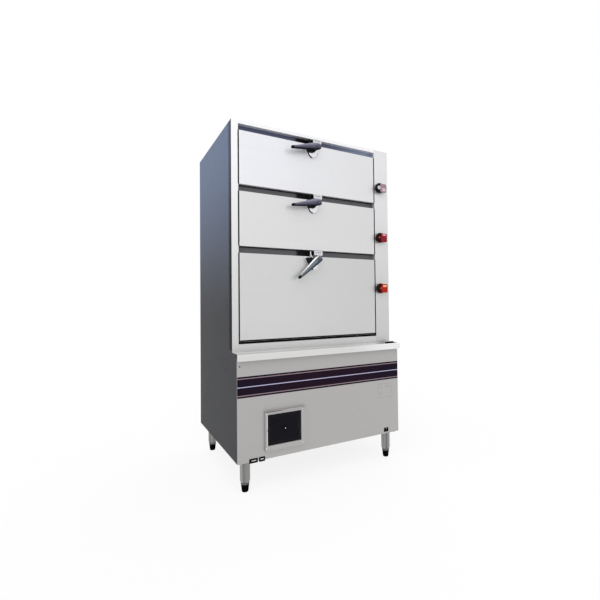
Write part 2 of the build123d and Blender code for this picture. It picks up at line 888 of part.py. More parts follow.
# Base front: panel with a window, stripe, raised frame, and the flap with its knob
def make_base_front_panel():
    top = upper_bottom - trough_depth - gutter_sheet
    panel = block((-half_width, half_width), (base_front, base_front + skin), (base_bottom, top))
    cut_y = (base_front - skin, base_front + 2 * skin)
    panel -= block((window_left, window_right), cut_y, (window_bottom, window_top))
    for x, z in frame_screw_places:
        panel -= rod_y(x, cut_y, z, screw_radius + running_gap)
    return panel


def make_stripe_band():
    return block(
        (-half_width + stripe_end_gap, half_width - stripe_end_gap),
        (base_front - stripe_sheet, base_front),
        (stripe_bottom, stripe_bottom + stripe_height),
    )


def make_flap_frame():
    outer_z = (window_bottom - frame_below, window_top + frame_above)
    outer_x = (window_left - frame_left, window_right + frame_right)
    frame = block(outer_x, (frame_face, base_front), outer_z)
    frame -= block(
        (window_left, window_right), (frame_face - 1, base_front + 1), (window_bottom, window_top)
    )
    frame += block(outer_x, (frame_face - ledge_reach, base_front), (outer_z[1] - ledge_height, outer_z[1]))
    pin_x = (window_left - flap_pin_length, window_right + flap_pin_length)
    frame -= rod_x(pin_x, flap_pivot_y, flap_pivot_z, flap_pin_radius + running_gap)
    for x, z in frame_screw_places:
        frame -= rod_y(x, (frame_face - 1, base_front + 1), z, screw_radius + running_gap)
    return frame


def make_flap():
    """A black plate with a rim behind it, on two short pins at its top corners."""
    x = (window_left + flap_gap, window_right - flap_gap)
    z = (window_bottom + flap_gap, window_top - flap_gap)
    flap = block(x, (flap_face, flap_face + flap_rim), z)
    flap -= block(
        (x[0] + flap_plate, x[1] - flap_plate),
        (flap_face + flap_plate, flap_face + flap_rim),
        (z[0] + flap_plate, z[1] - 2 * flap_pin_drop),
    )
    pin_x = (window_left - flap_pin_length + touch_gap, window_right + flap_pin_length - touch_gap)
    flap += rod_x(pin_x, flap_pivot_y, flap_pivot_z, flap_pin_radius)
    return flap


def make_flap_knob():
    x = (window_left + window_right) / 2
    z = (window_bottom + window_top) / 2
    neck = rod_y(x, (flap_face - knob_neck, flap_face), z, knob_neck_radius)
    head = rod_y(x, (flap_face - knob_reach, flap_face - knob_neck), z, knob_radius)
    head = fillet(head.edges().filter_by(GeomType.CIRCLE), knob_round)
    return neck + head


parts["base_front_panel"] = make_base_front_panel()
parts["stripe_band"] = make_stripe_band()
parts["flap_frame"] = make_flap_frame()
parts["flap"] = make_flap()
parts["flap_knob"] = make_flap_knob()


# Base frame: lower and upper rings, posts, tank bearers, floor and deck plates
def make_base_frame():
    x = (-half_width + skin, half_width - skin)
    y = (base_front + skin, rear - skin)
    left = (x[0], x[0] + tube)
    right = (x[1] - tube, x[1])
    front = (y[0], y[0] + tube)
    deck_front = (seat, seat + tube)
    back = (y[1] - tube, y[1])
    low_ring = (base_bottom + floor_plate, base_bottom + floor_plate + tube)
    top_ring = (upper_bottom - tube, upper_bottom)
    post = (low_ring[1], top_ring[0])
    bearer = (tank_bottom - tube, tank_bottom)
    solids = []
    for ring, front_tube in ((low_ring, front), (top_ring, deck_front)):
        solids.append(square_tube(x, front_tube, ring))
        solids.append(square_tube(x, back, ring))
        for side in (left, right):
            solids.append(square_tube(side, (front_tube[1], back[0]), ring))
    for side in (left, right):
        solids.append(square_tube(side, deck_front, post))
        solids.append(square_tube(side, back, post))
        solids.append(square_tube(side, (deck_front[1], back[0]), bearer))
    for middle in (bearer_front, bearer_back):
        bearer_y = (middle - tube / 2, middle + tube / 2)
        solids.append(square_tube((left[1], right[0]), bearer_y, bearer))
    floor = block(x, y, (base_bottom, base_bottom + floor_plate))
    for leg_x, leg_y in leg_places:
        for bolt_x, bolt_y in bolt_places(leg_x, leg_y):
            cut_z = (base_bottom - 1, base_bottom + floor_plate + 1)
            floor -= rod_z(bolt_x, bolt_y, cut_z, bolt_radius + running_gap)
    deck_z = (upper_bottom, upper_bottom + floor_plate)
    deck = block(x, (seat, y[1]), deck_z)
    riser_hole = riser_radius + touch_gap
    deck -= rod_z(valve_x, riser_y, (deck_z[0] - 1, deck_z[1] + 1), riser_hole)
    return grouped(solids + [floor, deck])


def bolt_places(x, y):
    return [(x + a * bolt_offset, y + b * bolt_offset) for a in (-1, 1) for b in (-1, 1)]


def make_water_tank():
    x = (-tank_half_width, tank_half_width)
    y = (tank_front, tank_back)
    z = (tank_bottom, tank_top)
    sheet = tank_sheet
    tank = block(x, y, z)
    tank -= block((x[0] + sheet, x[1] - sheet), (y[0] + sheet, y[1] - sheet), (z[0] + sheet, z[1] - sheet))
    tank -= rod_x((x[1] - 2 * sheet, x[1] + sheet), riser_y, tank_top - tube, riser_radius - riser_wall)
    for pipe_x, pipe_z in ((feed_x, feed_z), (tank_drain_x, tank_drain_z)):
        tank -= rod_y(pipe_x, (y[1] - 2 * sheet, y[1] + sheet), pipe_z, pipe_bore)
    return tank


def make_burner():
    """A flat cast burner on two legs, with rows of flame ports in its top."""
    burner = block(burner_x, burner_y, burner_z)
    ports_x = between(burner_x[0] + burner_edge, burner_x[1] - burner_edge, burner_port_rows)
    ports_y = between(burner_y[0] + burner_edge, burner_y[1] - burner_edge, burner_ports_in_row)
    port_z = (burner_z[1] - burner_port_depth, burner_z[1] + 1)
    for x in ports_x:
        for y in ports_y:
            burner -= rod_z(x, y, port_z, burner_port_radius)
    for edge, side in ((burner_x[0], 1), (burner_x[1], -1)):
        near = edge + side * burner_leg_inset
        leg_x = sorted((near, near + side * burner_leg))
        burner += block(leg_x, burner_y, (base_bottom + floor_plate, burner_z[0]))
    return burner


def make_blower_housing():
    """A round fan case with its outlet duct and pedestal, and the motor behind it."""
    front, back = blower_y
    case = rod_y(blower_x, blower_y, blower_z, blower_radius)
    duct_x = (burner_x[1], blower_x)
    duct_y = (front + duct_inset, front + duct_inset + duct_width)
    duct_z = (blower_z + blower_radius - duct_width, blower_z + blower_radius)
    case += block(duct_x, duct_y, duct_z)
    pedestal_x = (blower_x - pedestal_width / 2, blower_x + pedestal_width / 2)
    pedestal_z = (base_bottom + floor_plate, blower_z - blower_radius + pedestal_sink)
    case += block(pedestal_x, blower_y, pedestal_z)
    sheet = blower_sheet
    case -= rod_y(blower_x, (front + sheet, back - sheet), blower_z, blower_radius - sheet)
    case -= block(
        duct_x, (duct_y[0] + sheet, duct_y[1] - sheet), (duct_z[0] + sheet, duct_z[1] - sheet)
    )
    case -= rod_y(blower_x, (front - 1, front + 2 * sheet), blower_z, blower_inlet)
    case -= rod_y(blower_x, (back - 2 * sheet, back + 1), blower_z, shaft_radius + running_gap)
    motor = rod_y(blower_x, (back, back + motor_length), blower_z, motor_radius)
    motor -= rod_y(blower_x, (back - 1, back + shaft_bury + 1), blower_z, shaft_radius + running_gap)
    return grouped([case, motor])


def make_blower_wheel():
    """A drum wheel: back disc with a hub, a ring of blades, a rim and the shaft."""
    back = blower_y[1] - blower_sheet * 4
    front = back - wheel_width
    wheel = rod_y(blower_x, (back - blade_sheet, back), blower_z, wheel_radius)
    wheel += rod_y(blower_x, (front + wheel_width / 2, back), blower_z, wheel_hub_radius)
    blade_x = (wheel_radius - blade_depth + blade_margin, wheel_radius - blade_margin)
    blade_y = (front + blade_margin, back - blade_margin)
    for number in range(wheel_blades):
        blade = block(blade_x, blade_y, (-blade_sheet / 2, blade_sheet / 2))
        angle = 360 * number / wheel_blades
        wheel += Pos(blower_x, 0, blower_z) * Rot(0, angle, 0) * blade
    rim = rod_y(blower_x, (front, front + blade_sheet), blower_z, wheel_radius)
    rim -= rod_y(blower_x, (front - 1, front + 2 * blade_sheet), blower_z, wheel_radius - blade_depth)
    wheel += rim
    return wheel + rod_y(blower_x, (back, blower_y[1] + shaft_bury), blower_z, shaft_radius)


def make_flue_duct():
    x = (-flue_half_width, flue_half_width)
    y = (tank_back, rear - skin)
    sheet = flue_sheet
    spigot_y = (y[0] + sheet, rear + rear_reach)
    duct = block(x, y, flue_z)
    duct += rod_y(0, (y[1], spigot_y[1]), spigot_z, spigot_radius)
    duct += rod_y(0, (rear, rear + spigot_collar), spigot_z, spigot_radius + spigot_collar_rim)
    duct -= block((x[0] + sheet, x[1] - sheet), (y[0] + sheet, y[1] - sheet), (flue_z[0], flue_z[1] - sheet))
    return duct - rod_y(0, (y[1] - 2 * sheet, spigot_y[1] + 1), spigot_z, spigot_radius - sheet)


def make_cable_gland():
    thread = gland_radius - gland_bore / 2
    gland = rod_y(gland_x, (rear - skin - gland_nut, rear + gland_reach), gland_z, thread)
    for y in ((rear, rear + gland_nut), (rear - skin - gland_nut / 2, rear - skin)):
        hexagon = RegularPolygon(gland_radius + gland_nut_rim, 6)
        gland += extrude(facing_plane(gland_x, y[1], gland_z) * hexagon, amount=y[1] - y[0])
    return gland - rod_y(gland_x, (rear - 2 * gland_reach, rear + 2 * gland_reach), gland_z, gland_bore)


parts["base_frame"] = make_base_frame()
parts["water_tank"] = make_water_tank()
parts["burner"] = make_burner()
parts["blower_housing"] = make_blower_housing()
parts["blower_wheel"] = make_blower_wheel()
parts["flue_duct"] = make_flue_duct()
parts["cable_gland"] = make_cable_gland()


# Legs with their plates, and feet that screw into them
def make_leg(x, y):
    top = base_bottom - leg_plate
    low = foot_height + leg_neck
    bore = foot_stem_radius + running_gap
    leg = rod_z(x, y, (low, top), leg_radius)
    neck = Pos(x, y, foot_height + leg_neck / 2) * Cone(leg_neck_radius, leg_radius, leg_neck)
    leg += neck
    leg -= rod_z(x, y, (foot_height + leg_plug, top), leg_radius - leg_wall)
    leg -= rod_z(x, y, (foot_height - 1, foot_height + leg_plug + 1), bore)
    plate_half = leg_plate_width / 2
    plate = block((x - plate_half, x + plate_half), (y - plate_half, y + plate_half), (top, base_bottom))
    for bolt_x, bolt_y in bolt_places(x, y):
        plate -= rod_z(bolt_x, bolt_y, (top - 1, base_bottom + 1), bolt_radius + running_gap)
    return leg + plate


def make_foot(x, y):
    """A tapered foot with a rounded sole edge, and the stem that enters the leg."""
    height = foot_height - touch_gap
    body = Pos(x, y, height / 2) * Cone(foot_sole_radius, foot_top_radius, height)
    body = fillet(body.edges().sort_by(Axis.Z)[0], foot_round)
    return body + rod_z(x, y, (height, foot_height + foot_stem), foot_stem_radius)


parts["legs"] = grouped([make_leg(x, y) for x, y in leg_places])
for leg_name, (x, y) in zip(leg_names, leg_places):
    parts[f"foot_{leg_name}"] = make_foot(x, y)


# Screws in the back panel and the flap's frame, bolts in the leg plates
def make_screws():
    solids = []
    for x, z in back_screw_places:
        head = rod_y(x, (rear, rear + screw_head), z, screw_head_radius)
        solids.append(head + rod_y(x, (rear - skin, rear), z, screw_radius))
    for x, z in frame_screw_places:
        head = rod_y(x, (frame_face - screw_head, frame_face), z, screw_head_radius)
        solids.append(head + rod_y(x, (frame_face, base_front + skin), z, screw_radius))
    for leg_x, leg_y in leg_places:
        plate_low = base_bottom - leg_plate
        for x, y in bolt_places(leg_x, leg_y):
            head = rod_z(x, y, (plate_low - bolt_head, plate_low), bolt_head_radius)
            solids.append(head + rod_z(x, y, (plate_low, base_bottom + floor_plate), bolt_radius))
    return grouped(solids)


parts["screws"] = make_screws()

os.makedirs("parts", exist_ok=True)
for node, shape in parts.items():
    export_step(shape, f"parts/{node}.step")
print(len(parts), "nodes")
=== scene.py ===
import bmesh
import bpy
import math
from mathutils import Matrix, Vector


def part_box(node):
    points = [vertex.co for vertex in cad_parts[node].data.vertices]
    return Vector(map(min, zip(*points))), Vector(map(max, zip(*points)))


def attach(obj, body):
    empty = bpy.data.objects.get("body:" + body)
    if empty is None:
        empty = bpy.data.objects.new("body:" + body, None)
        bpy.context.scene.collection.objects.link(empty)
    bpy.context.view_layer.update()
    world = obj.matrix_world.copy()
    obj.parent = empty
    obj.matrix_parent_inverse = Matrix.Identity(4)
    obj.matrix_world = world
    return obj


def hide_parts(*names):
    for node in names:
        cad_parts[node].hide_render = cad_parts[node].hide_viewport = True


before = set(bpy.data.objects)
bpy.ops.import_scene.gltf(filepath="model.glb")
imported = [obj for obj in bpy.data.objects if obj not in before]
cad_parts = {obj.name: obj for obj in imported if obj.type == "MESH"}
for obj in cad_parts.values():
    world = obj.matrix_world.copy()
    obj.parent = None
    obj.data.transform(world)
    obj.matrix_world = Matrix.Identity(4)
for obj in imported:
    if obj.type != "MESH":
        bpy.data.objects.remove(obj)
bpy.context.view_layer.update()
doorNames = ["lower", "middle", "upper"]
doorBox = {name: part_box(f"door_{name}_skin") for name in doorNames}
faceY = doorBox["lower"][0][1]
print("frame loaded")


# Node trees: sums are written in Python, every other node goes through add
class Wire:
    def __init__(self, graph, socket):
        self.graph = graph
        self.socket = socket

    def sum(self, operation, first, second=0.0):
        return self.graph.add("ShaderNodeMath", {"operation": operation}, {0: first, 1: second})

    def __add__(self, other):
        return self.sum("ADD", self, other)

    def __radd__(self, other):
        return self.sum("ADD", other, self)

    def __sub__(self, other):
        return self.sum("SUBTRACT", self, other)

    def __rsub__(self, other):
        return self.sum("SUBTRACT", other, self)

    def __mul__(self, other):
        return self.sum("MULTIPLY", self, other)

    def __rmul__(self, other):
        return self.sum("MULTIPLY", other, self)

    def __truediv__(self, other):
        return self.sum("DIVIDE", self, other)

    def size(self):
        return self.sum("ABSOLUTE", self)

    def most(self, other):
        return self.sum("MAXIMUM", self, other)

    def rise(self, low, high):
        # 0 below low, 1 above high, smooth between them
        inputs = {0: self, 1: low, 2: high, 3: 0.0, 4: 1.0}
        return self.graph.add("ShaderNodeMapRange", {"interpolation_type": "SMOOTHSTEP"}, inputs)

    def band(self, low, high, soft):
        # 1 between low and high, 0 outside
        return self.rise(low - soft, low + soft) * (1 - self.rise(high - soft, high + soft))


class Graph:
    def __init__(self, tree):
        self.tree = tree

    def add(self, kind, settings=None, inputs=None, out=0):
        node = self.tree.nodes.new(kind)
        for name, setting in (settings or {}).items():
            setattr(node, name, setting)
        for key, value in (inputs or {}).items():
            if isinstance(value, Wire):
                self.tree.links.new(value.socket, node.inputs[key])
            else:
                node.inputs[key].default_value = value
        return Wire(self, node.outputs[out] if node.outputs else None)


class Finish(Graph):
    # one material: its pattern sockets and its shader
    def __init__(self, name):
        self.material = bpy.data.materials.new(name)
        self.material.use_nodes = True
        super().__init__(self.material.node_tree)
        self.tree.nodes.clear()
        self.place = self.add("ShaderNodeTexCoord", out="Object")

    def along(self, axis):
        return self.add("ShaderNodeSeparateXYZ", None, {0: self.place}, out="XYZ".index(axis))

    def noise(self, scale, detail=3.0, rough=0.55, distortion=0.0, place=None):
        inputs = {"Vector": place or self.place, "Scale": scale, "Detail": detail, "Roughness": rough,
                  "Distortion": distortion}
        return self.add("ShaderNodeTexNoise", {"noise_dimensions": "3D"}, inputs)

    def grain(self, stretch, detail=2.0, rough=0.55):
        # noise with a scale of its own along each axis
        inputs = {"Vector": self.place, "Scale": stretch}
        place = self.add("ShaderNodeMapping", {"vector_type": "POINT"}, inputs)
        return self.noise(1.0, detail, rough, place=place)

    def cells(self, scale):
        return self.add("ShaderNodeTexVoronoi", {"feature": "F1"}, {"Vector": self.place, "Scale": scale})

    def blend(self, amount, first, second):
        inputs = {0: amount}
        for key, colour in ((6, first), (7, second)):
            inputs[key] = colour if isinstance(colour, Wire) else (*colour, 1.0)
        return self.add("ShaderNodeMix", {"data_type": "RGBA", "clamp_factor": True}, inputs, out=2)

    def shade(self, bump, depth, strength, colour, roughness, metallic=0.0, specular=0.5, coat=0.0):
        raised = self.add("ShaderNodeBump", None, {"Strength": strength, "Distance": depth, "Height": bump})
        return self.add("ShaderNodeBsdfPrincipled", None, {
            "Base Color": colour, "Roughness": roughness, "Metallic": metallic,
            "Specular IOR Level": specular, "Coat Weight": coat, "Normal": raised})

    def end(self, shader):
        self.add("ShaderNodeOutputMaterial", None, {0: shader})
        return self.material


def scaled(colour, factor):
    return tuple(min(1.0, channel * factor) for channel in colour)


# Kinds of finish; each returns the shader of one material
def brushedSheet(finish, colour, roughness, grain="X", metallic=0.6, streak=0.045, specular=0.5,
                 smudges=0.1, top=None, far=None, foldShade=None):
    fine = [620.0, 620.0, 620.0]
    broad = [70.0, 70.0, 70.0]
    fine["XYZ".index(grain)] = 5.0
    broad["XYZ".index(grain)] = 1.3
    fineGrain, broadGrain, cloud = finish.grain(fine), finish.grain(broad, 3.0), finish.noise(2.6, 2.0)
    smudge = finish.noise(11.0, 4.0, distortion=0.6).rise(0.56, 0.78)
    dark, paler = scaled(colour, 1 - streak), scaled(colour, 1 + streak)
    if top:
        # painted light: another colour toward the top, for how the light falls on the sheet
        height = finish.along("Z").rise(*top["span"])
        dark = finish.blend(height, dark, scaled(top["colour"], 1 - streak))
        paler = finish.blend(height, paler, scaled(top["colour"], 1 + streak))
    mixed = finish.blend(fineGrain * 0.35 + broadGrain * 0.45 + cloud * 0.2, dark, paler)
    if far:
        # painted light and shade: another colour toward the far end in X
        mixed = finish.blend(finish.along("X").rise(*far["span"]), mixed, far["colour"])
    if foldShade:
        # painted shade: a dark strip along the front fold, above the gutter and fainter toward the top
        strip = (1 - finish.along("Y").rise(*foldShade["depths"])) * finish.along("Z").rise(*foldShade["start"])
        strip = strip * (foldShade["strength"] - finish.along("Z").rise(*foldShade["fading"]) * foldShade["loss"])
        mixed = finish.blend(strip, mixed, foldShade["tone"])
    sheetTone = finish.blend(smudge * smudges, mixed, scaled(colour, 0.86))
    rough = roughness + fineGrain * 0.1 + smudge * 0.08 - cloud * 0.04
    return finish.shade(fineGrain, 0.00012, 0.25, sheetTone, rough, metallic, specular)


def seatSteel(finish, upperSpan, slate, grey, farSpan, far, streak, shade, black, line, lineSoft, feet):
    # the recessed bands, with tones that stand in for the recess's shade and reflections: slate on top, grey
    # below, bluer toward +X above; painted shade black beside each keeper and at each door's foot
    grain, side, level = finish.grain((5.0, 620.0, 620.0)), finish.along("X"), finish.along("Z")
    height = level.rise(*upperSpan)
    tone = finish.blend(height, grey, slate)
    tone = finish.blend(side.rise(*farSpan) * height, tone, far)
    tone = finish.blend(grain * 0.3, tone, streak)
    tone = finish.blend(side.band(*shade), tone, black)
    for foot in feet:
        tone = finish.blend(level.band(foot - line, foot + line, lineSoft), tone, black)
    return finish.shade(grain, 0.00012, 0.25, tone, 0.4 + grain * 0.08, 0.3, 0.15)


def tubeSteel(finish, colour):
    # drawn tube: fine grain, and dark and pale lines of several widths along it that are painted reflection
    broad = finish.grain((48.0, 48.0, 0.6)).rise(0.4, 0.6)
    lines = finish.grain((150.0, 150.0, 1.2)).rise(0.36, 0.64)
    fine = finish.grain((520.0, 520.0, 6.0))
    tone = finish.blend(broad * 0.6 + lines * 0.4, scaled(colour, 0.42), scaled(colour, 1.45))
    tone = finish.blend(fine * 0.35, tone, scaled(colour, 0.8))
    return finish.shade(fine, 0.0001, 0.2, tone, 0.3 + fine * 0.1, 0.85)


def polished(finish, colour, roughness=0.14, metallic=0.95, swirl=60.0, specular=0.5, flank=None):
    fine, cloud = finish.noise(swirl, distortion=1.4), finish.noise(9.0, 2.0)
    pits = 1 - finish.cells(340.0).rise(0.02, 0.1)
    tone = finish.blend(cloud * 0.7 + fine * 0.3, scaled(colour, 0.9), scaled(colour, 1.06))
    tone = finish.blend(pits * 0.25, tone, scaled(colour, 0.55))
    if flank:
        # painted shade: black on the side toward -X
        tone = finish.blend(1 - finish.along("X").rise(*flank), tone, (0.004, 0.004, 0.005))
    return finish.shade(fine, 0.0002, 0.15, tone, roughness + fine * 0.1 + pits * 0.15, metallic, specular)


def leverSkin(finish, door, tones):
    # painted light and shade: tones by the height across the lever, -1 at its shaded underside, 1 at its lit
    # top
    turn = math.radians(leverPlace["drops"][door])
    aside, up = finish.along("X") - leverPlace["pivotX"], finish.along("Z") - pivotHeight(door)
    distance = aside * -math.cos(turn) + up * -math.sin(turn)
    height = aside * -math.sin(turn) + up * math.cos(turn)
    half = leverPlace["halfAtPivot"] - distance * leverPlace["taper"]
    height = (height - leverPlace["middle"]) / half
    fine = finish.noise(90.0, distortion=1.4)
    tone = tones[0][1]
    for (low, _), (high, upperTone) in zip(tones, tones[1:]):
        tone = finish.blend(height.rise(low, high), tone, upperTone)
    tone = finish.blend(fine * 0.18, tone, (0.02, 0.02, 0.03))
    return finish.shade(fine, 0.0002, 0.12, tone, 0.32 + fine * 0.1, 0.45, 0.2)


def painted(finish, colour, roughness=0.4, peel=300.0, dust=0.06, metallic=0.0, specular=0.5, coat=0.0):
    orange, cloud = finish.noise(peel, 2.0), finish.noise(6.0)
    speck = 1 - finish.cells(900.0).rise(0.0, 0.16)
    tone = finish.blend(cloud, scaled(colour, 0.86), scaled(colour, 1.12))
    tone = finish.blend(speck * dust, tone, (0.45, 0.44, 0.42))
    return finish.shade(orange, 0.0003, 0.2, tone, roughness + cloud * 0.12, metallic, specular, coat)


def moulded(finish, colour, roughness, texture=900.0, specular=0.3):
    dimples, cloud = finish.cells(texture), finish.noise(14.0)
    scuff = finish.grain((30.0, 340.0, 340.0)).rise(0.6, 0.75)
    scuffed = scaled(colour, 2.2) if max(colour) < 0.3 else (0.8, 0.8, 0.8)
    tone = finish.blend(cloud, scaled(colour, 0.8), scaled(colour, 1.15))
    tone = finish.blend(scuff * 0.12, tone, scuffed)
    rough = roughness + scuff * 0.15 + cloud * 0.06
    return finish.shade(dimples, 0.0002, 0.25, tone, rough, specular=specular)


def softRubber(finish, colour):
    texture, bloom = finish.noise(420.0, 2.0), finish.noise(18.0, 4.0).rise(0.45, 0.8)
    tone = finish.blend(bloom * 0.5, colour, scaled(colour, 1.35))
    return finish.shade(texture, 0.0004, 0.35, tone, 0.62 + bloom * 0.14, specular=0.25)


def castMetal(finish, colour):
    sand = finish.noise(310.0, 5.0, rough=0.7)
    rust = finish.noise(26.0, 4.0, distortion=0.8).rise(0.56, 0.72)
    tone = finish.blend(sand, scaled(colour, 0.65), scaled(colour, 1.3))
    tone = finish.blend(rust * 0.55, tone, (0.24, 0.1, 0.05))
    return finish.shade(sand, 0.0012, 0.5, tone, 0.62 + rust * 0.22, 0.55 - rust * 0.4)


def woolSlab(finish, colour):
    fibre = finish.grain((90.0, 700.0, 260.0), 4.0, 0.7)
    clump = finish.noise(34.0, 4.0, distortion=1.0)
    layer = finish.grain((12.0, 12.0, 210.0), 3.0).rise(0.55, 0.7)
    tone = finish.blend(fibre * 0.5 + clump * 0.5, scaled(colour, 0.62), scaled(colour, 1.18))
    tone = finish.blend(layer * 0.35, tone, scaled(colour, 0.5))
    return finish.shade(fibre + clump, 0.003, 0.7, tone, 0.92)


def hammered(finish, colour):
    dimples, cloud = finish.cells(150.0), finish.noise(5.0, 2.0)
    tone = finish.blend(dimples.rise(0.1, 0.6), scaled(colour, 1.25), scaled(colour, 0.75))
    tone = finish.blend(cloud * 0.2, tone, scaled(colour, 0.6))
    return finish.shade(dimples, 0.0015, 0.5, tone, 0.33 + cloud * 0.12, 0.2, coat=0.4)


def limedSteel(finish, colour, span):
    # boiler steel with chalky tide marks near the water line
    grain = finish.grain((8.0, 8.0, 240.0), 3.0)
    chalk = finish.noise(24.0, 5.0, rough=0.7).rise(0.42, 0.7) * finish.along("Z").band(*span, 0.02)
    tone = finish.blend(grain, scaled(colour, 0.88), scaled(colour, 1.08))
    tone = finish.blend(chalk * 0.6, tone, (0.78, 0.76, 0.7))
    return finish.shade(grain + chalk, 0.0006, 0.3, tone, 0.33 + chalk * 0.4, 0.85 - chalk * 0.6)


def heatedSteel(finish, colour, source, reach):
    # straw to blue tint that fades away from the flame
    grain = finish.grain((6.0, 200.0, 200.0), 3.0)
    heat = 1 - finish.along("Z").rise(source, source + reach)
    heat = (heat + finish.noise(9.0) * 0.35 - 0.17).rise(0.0, 1.0)
    tone = finish.blend(grain, scaled(colour, 0.9), scaled(colour, 1.08))
    tone = finish.blend(heat.rise(0.15, 0.55) * 0.5, tone, (0.5, 0.36, 0.16))
    tone = finish.blend(heat.rise(0.6, 1.0) * 0.6, tone, (0.16, 0.17, 0.3))
    return finish.shade(grain, 0.0004, 0.25, tone, 0.36 + heat * 0.2, 0.85)


def stripedFilm(finish, look):
    # dark film with a pale line along its middle and a pin line near each edge
    height, side = finish.along("Z"), finish.along("X").size()
    sheen = finish.grain((3.0, 1.0, 40.0))
    tone = finish.blend(side.rise(*look["middleSpan"]), look["middle"], look["ends"])
    tone = finish.blend(sheen * 0.35, tone, scaled(look["ends"], 1.6))
    for offset, half, colour in look["lines"]:
        centre = look["centre"] + offset
        tone = finish.blend(height.band(centre - half, centre + half, 0.0004), tone, colour)
    scratch = finish.grain((14.0, 300.0, 900.0)).rise(0.62, 0.74)
    rough = 0.34 + scratch * 0.25 + sheen * 0.08
    return finish.shade(sheen, 0.0002, 0.1, tone, rough, specular=look["specular"])


# Looks with more than one value, and the finishes by name
# painted shade on the recessed bands: shade is the black beside each keeper, feet the black line at each
# door's foot
bandLook = {
    "upperSpan": (1.7, 1.78), "slate": (0.085, 0.098, 0.165), "grey": (0.12, 0.12, 0.125),
    "farSpan": (0.0, 0.36), "far": (0.27, 0.32, 0.44), "streak": (0.13, 0.13, 0.15),
    "shade": (-0.125, -0.03, 0.012), "black": (0.004, 0.004, 0.005), "line": 0.005, "lineSoft": 0.0012,
    "feet": [doorBox[name][0][2] for name in ("middle", "upper")],
}
# painted shade and reflection on the side sheets: a dark tone, bluer toward the top, and a dark strip along
# the front fold
sideLook = {
    "grain": "Z", "metallic": 0.08, "streak": 0.08, "specular": 0.03, "smudges": 0.05,
    "top": {"colour": (0.15, 0.19, 0.285), "span": (0.8, 1.88)},
    "foldShade": {"depths": (-0.3, -0.258), "start": (0.7, 0.706), "strength": 0.98, "fading": (1.15, 1.75),
             "loss": 0.34, "tone": (0.002, 0.002, 0.004)},
}
stripeLook = {
    "middle": (0.013, 0.005, 0.012), "ends": (0.01, 0.005, 0.013), "middleSpan": (0.12, 0.46),
    "centre": 0.53, "height": 0.104, "round": 0.001, "backGap": 0.00002, "specular": 0.04,
    # each line's height from the middle, its half width and its colour
    "lines": [(0.0415, 0.0022, (0.25, 0.19, 0.215)), (-0.0415, 0.0022, (0.25, 0.19, 0.215)),
              (0.0, 0.002, (0.46, 0.45, 0.64))],
}
leverPlace = {"pivotX": -0.0185, "pivotDrop": 0.018, "drops": {"lower": 41.0, "middle": 11.0, "upper": 11.0},
              "middle": 0.0016, "halfAtPivot": 0.02, "taper": 0.078}
# painted light: each door's tones across its lever, dark below and a painted highlight on top; the
# turned-down lower lever is a differently lit copy
leverTones = {
    "lower": [(-0.9, (0.012, 0.014, 0.02)), (-0.35, (0.1, 0.13, 0.16)), (0.1, (0.2, 0.24, 0.28)),
              (0.46, (0.1, 0.12, 0.145)), (0.82, (0.8, 0.8, 0.8))],
    "middle": [(-0.95, (0.022, 0.021, 0.034)), (-0.25, (0.085, 0.082, 0.128)), (0.85, (0.25, 0.25, 0.32))],
}
leverTones["upper"] = leverTones["middle"]
# painted light: the three handles are one plastic, and their tones differ per door as lit and shaded copies
handleTones = {
    "lower": {"hub": (0.03, 0.0022, 0.0012), "wing": (0.34, 0.016, 0.004), "mark": (0.95, 0.4, 0.22),
              "wingRoughness": 0.32, "hubSpecular": 0.05, "specular": 0.1},
    "middle": {"hub": (0.026, 0.0012, 0.002), "wing": (0.23, 0.01, 0.02), "mark": (0.8, 0.3, 0.32),
               "wingRoughness": 0.32, "hubSpecular": 0.05, "specular": 0.1},
    "upper": {"hub": (0.0045, 0.0045, 0.0055), "wing": (0.3, 0.2, 0.245), "mark": (0.56, 0.42, 0.46),
              "wingRoughness": 0.36, "hubSpecular": 0.08, "specular": 0.2},
}
# painted light and shade: the three doors are one steel, lighter higher up and darker toward the far end in X
doorTones = {"lower": ((0.61, 0.61, 0.61), (0.57, 0.57, 0.575)),
             "middle": ((0.68, 0.68, 0.685), (0.66, 0.66, 0.665)),
             "upper": ((0.77, 0.775, 0.81), (0.71, 0.71, 0.72))}
frameSpan = (0.7, 1.85)
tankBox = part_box("water_tank")
tideSpan = (tankBox[1][2] - 0.09, tankBox[1][2] - 0.03)
finishes, slots = {}, {}


def pivotHeight(door):
    return doorBox[door][1][2] - leverPlace["pivotDrop"]


def addFinish(name, slot, kind, *values, **look):
    # the slot is None where only CAD pieces that are shown as they are have the finish
    finish = Finish(name)
    finishes[name] = finish.end(kind(finish, *values, **look))
    slots[name] = slot


# painted light: the frame is one steel, lighter toward the top, and the right stile a darker shaded copy
addFinish("frontFrameSteel", "light_steel", brushedSheet, (0.6, 0.6, 0.6), 0.34, grain="Z",
          top={"colour": (0.86, 0.86, 0.88), "span": frameSpan})
addFinish("rightStileSteel", "light_steel", brushedSheet, (0.56, 0.56, 0.56), 0.34, grain="Z",
          top={"colour": (0.74, 0.74, 0.76), "span": frameSpan})
# painted light: the gutter lighter toward the far end in X
addFinish("gutterSteel", "light_steel", brushedSheet, (0.66, 0.655, 0.65), 0.3, metallic=0.65,
          far={"colour": (0.8, 0.8, 0.8), "span": (0.1, 0.45)})
addFinish("sideSteel", "side_steel", brushedSheet, (0.05, 0.051, 0.056), 0.46, **sideLook)
addFinish("backSteel", "side_steel", brushedSheet, (0.26, 0.265, 0.27), 0.42, grain="Z")
addFinish("baseSteel", "warm_steel", brushedSheet, (0.42, 0.408, 0.405), 0.38)
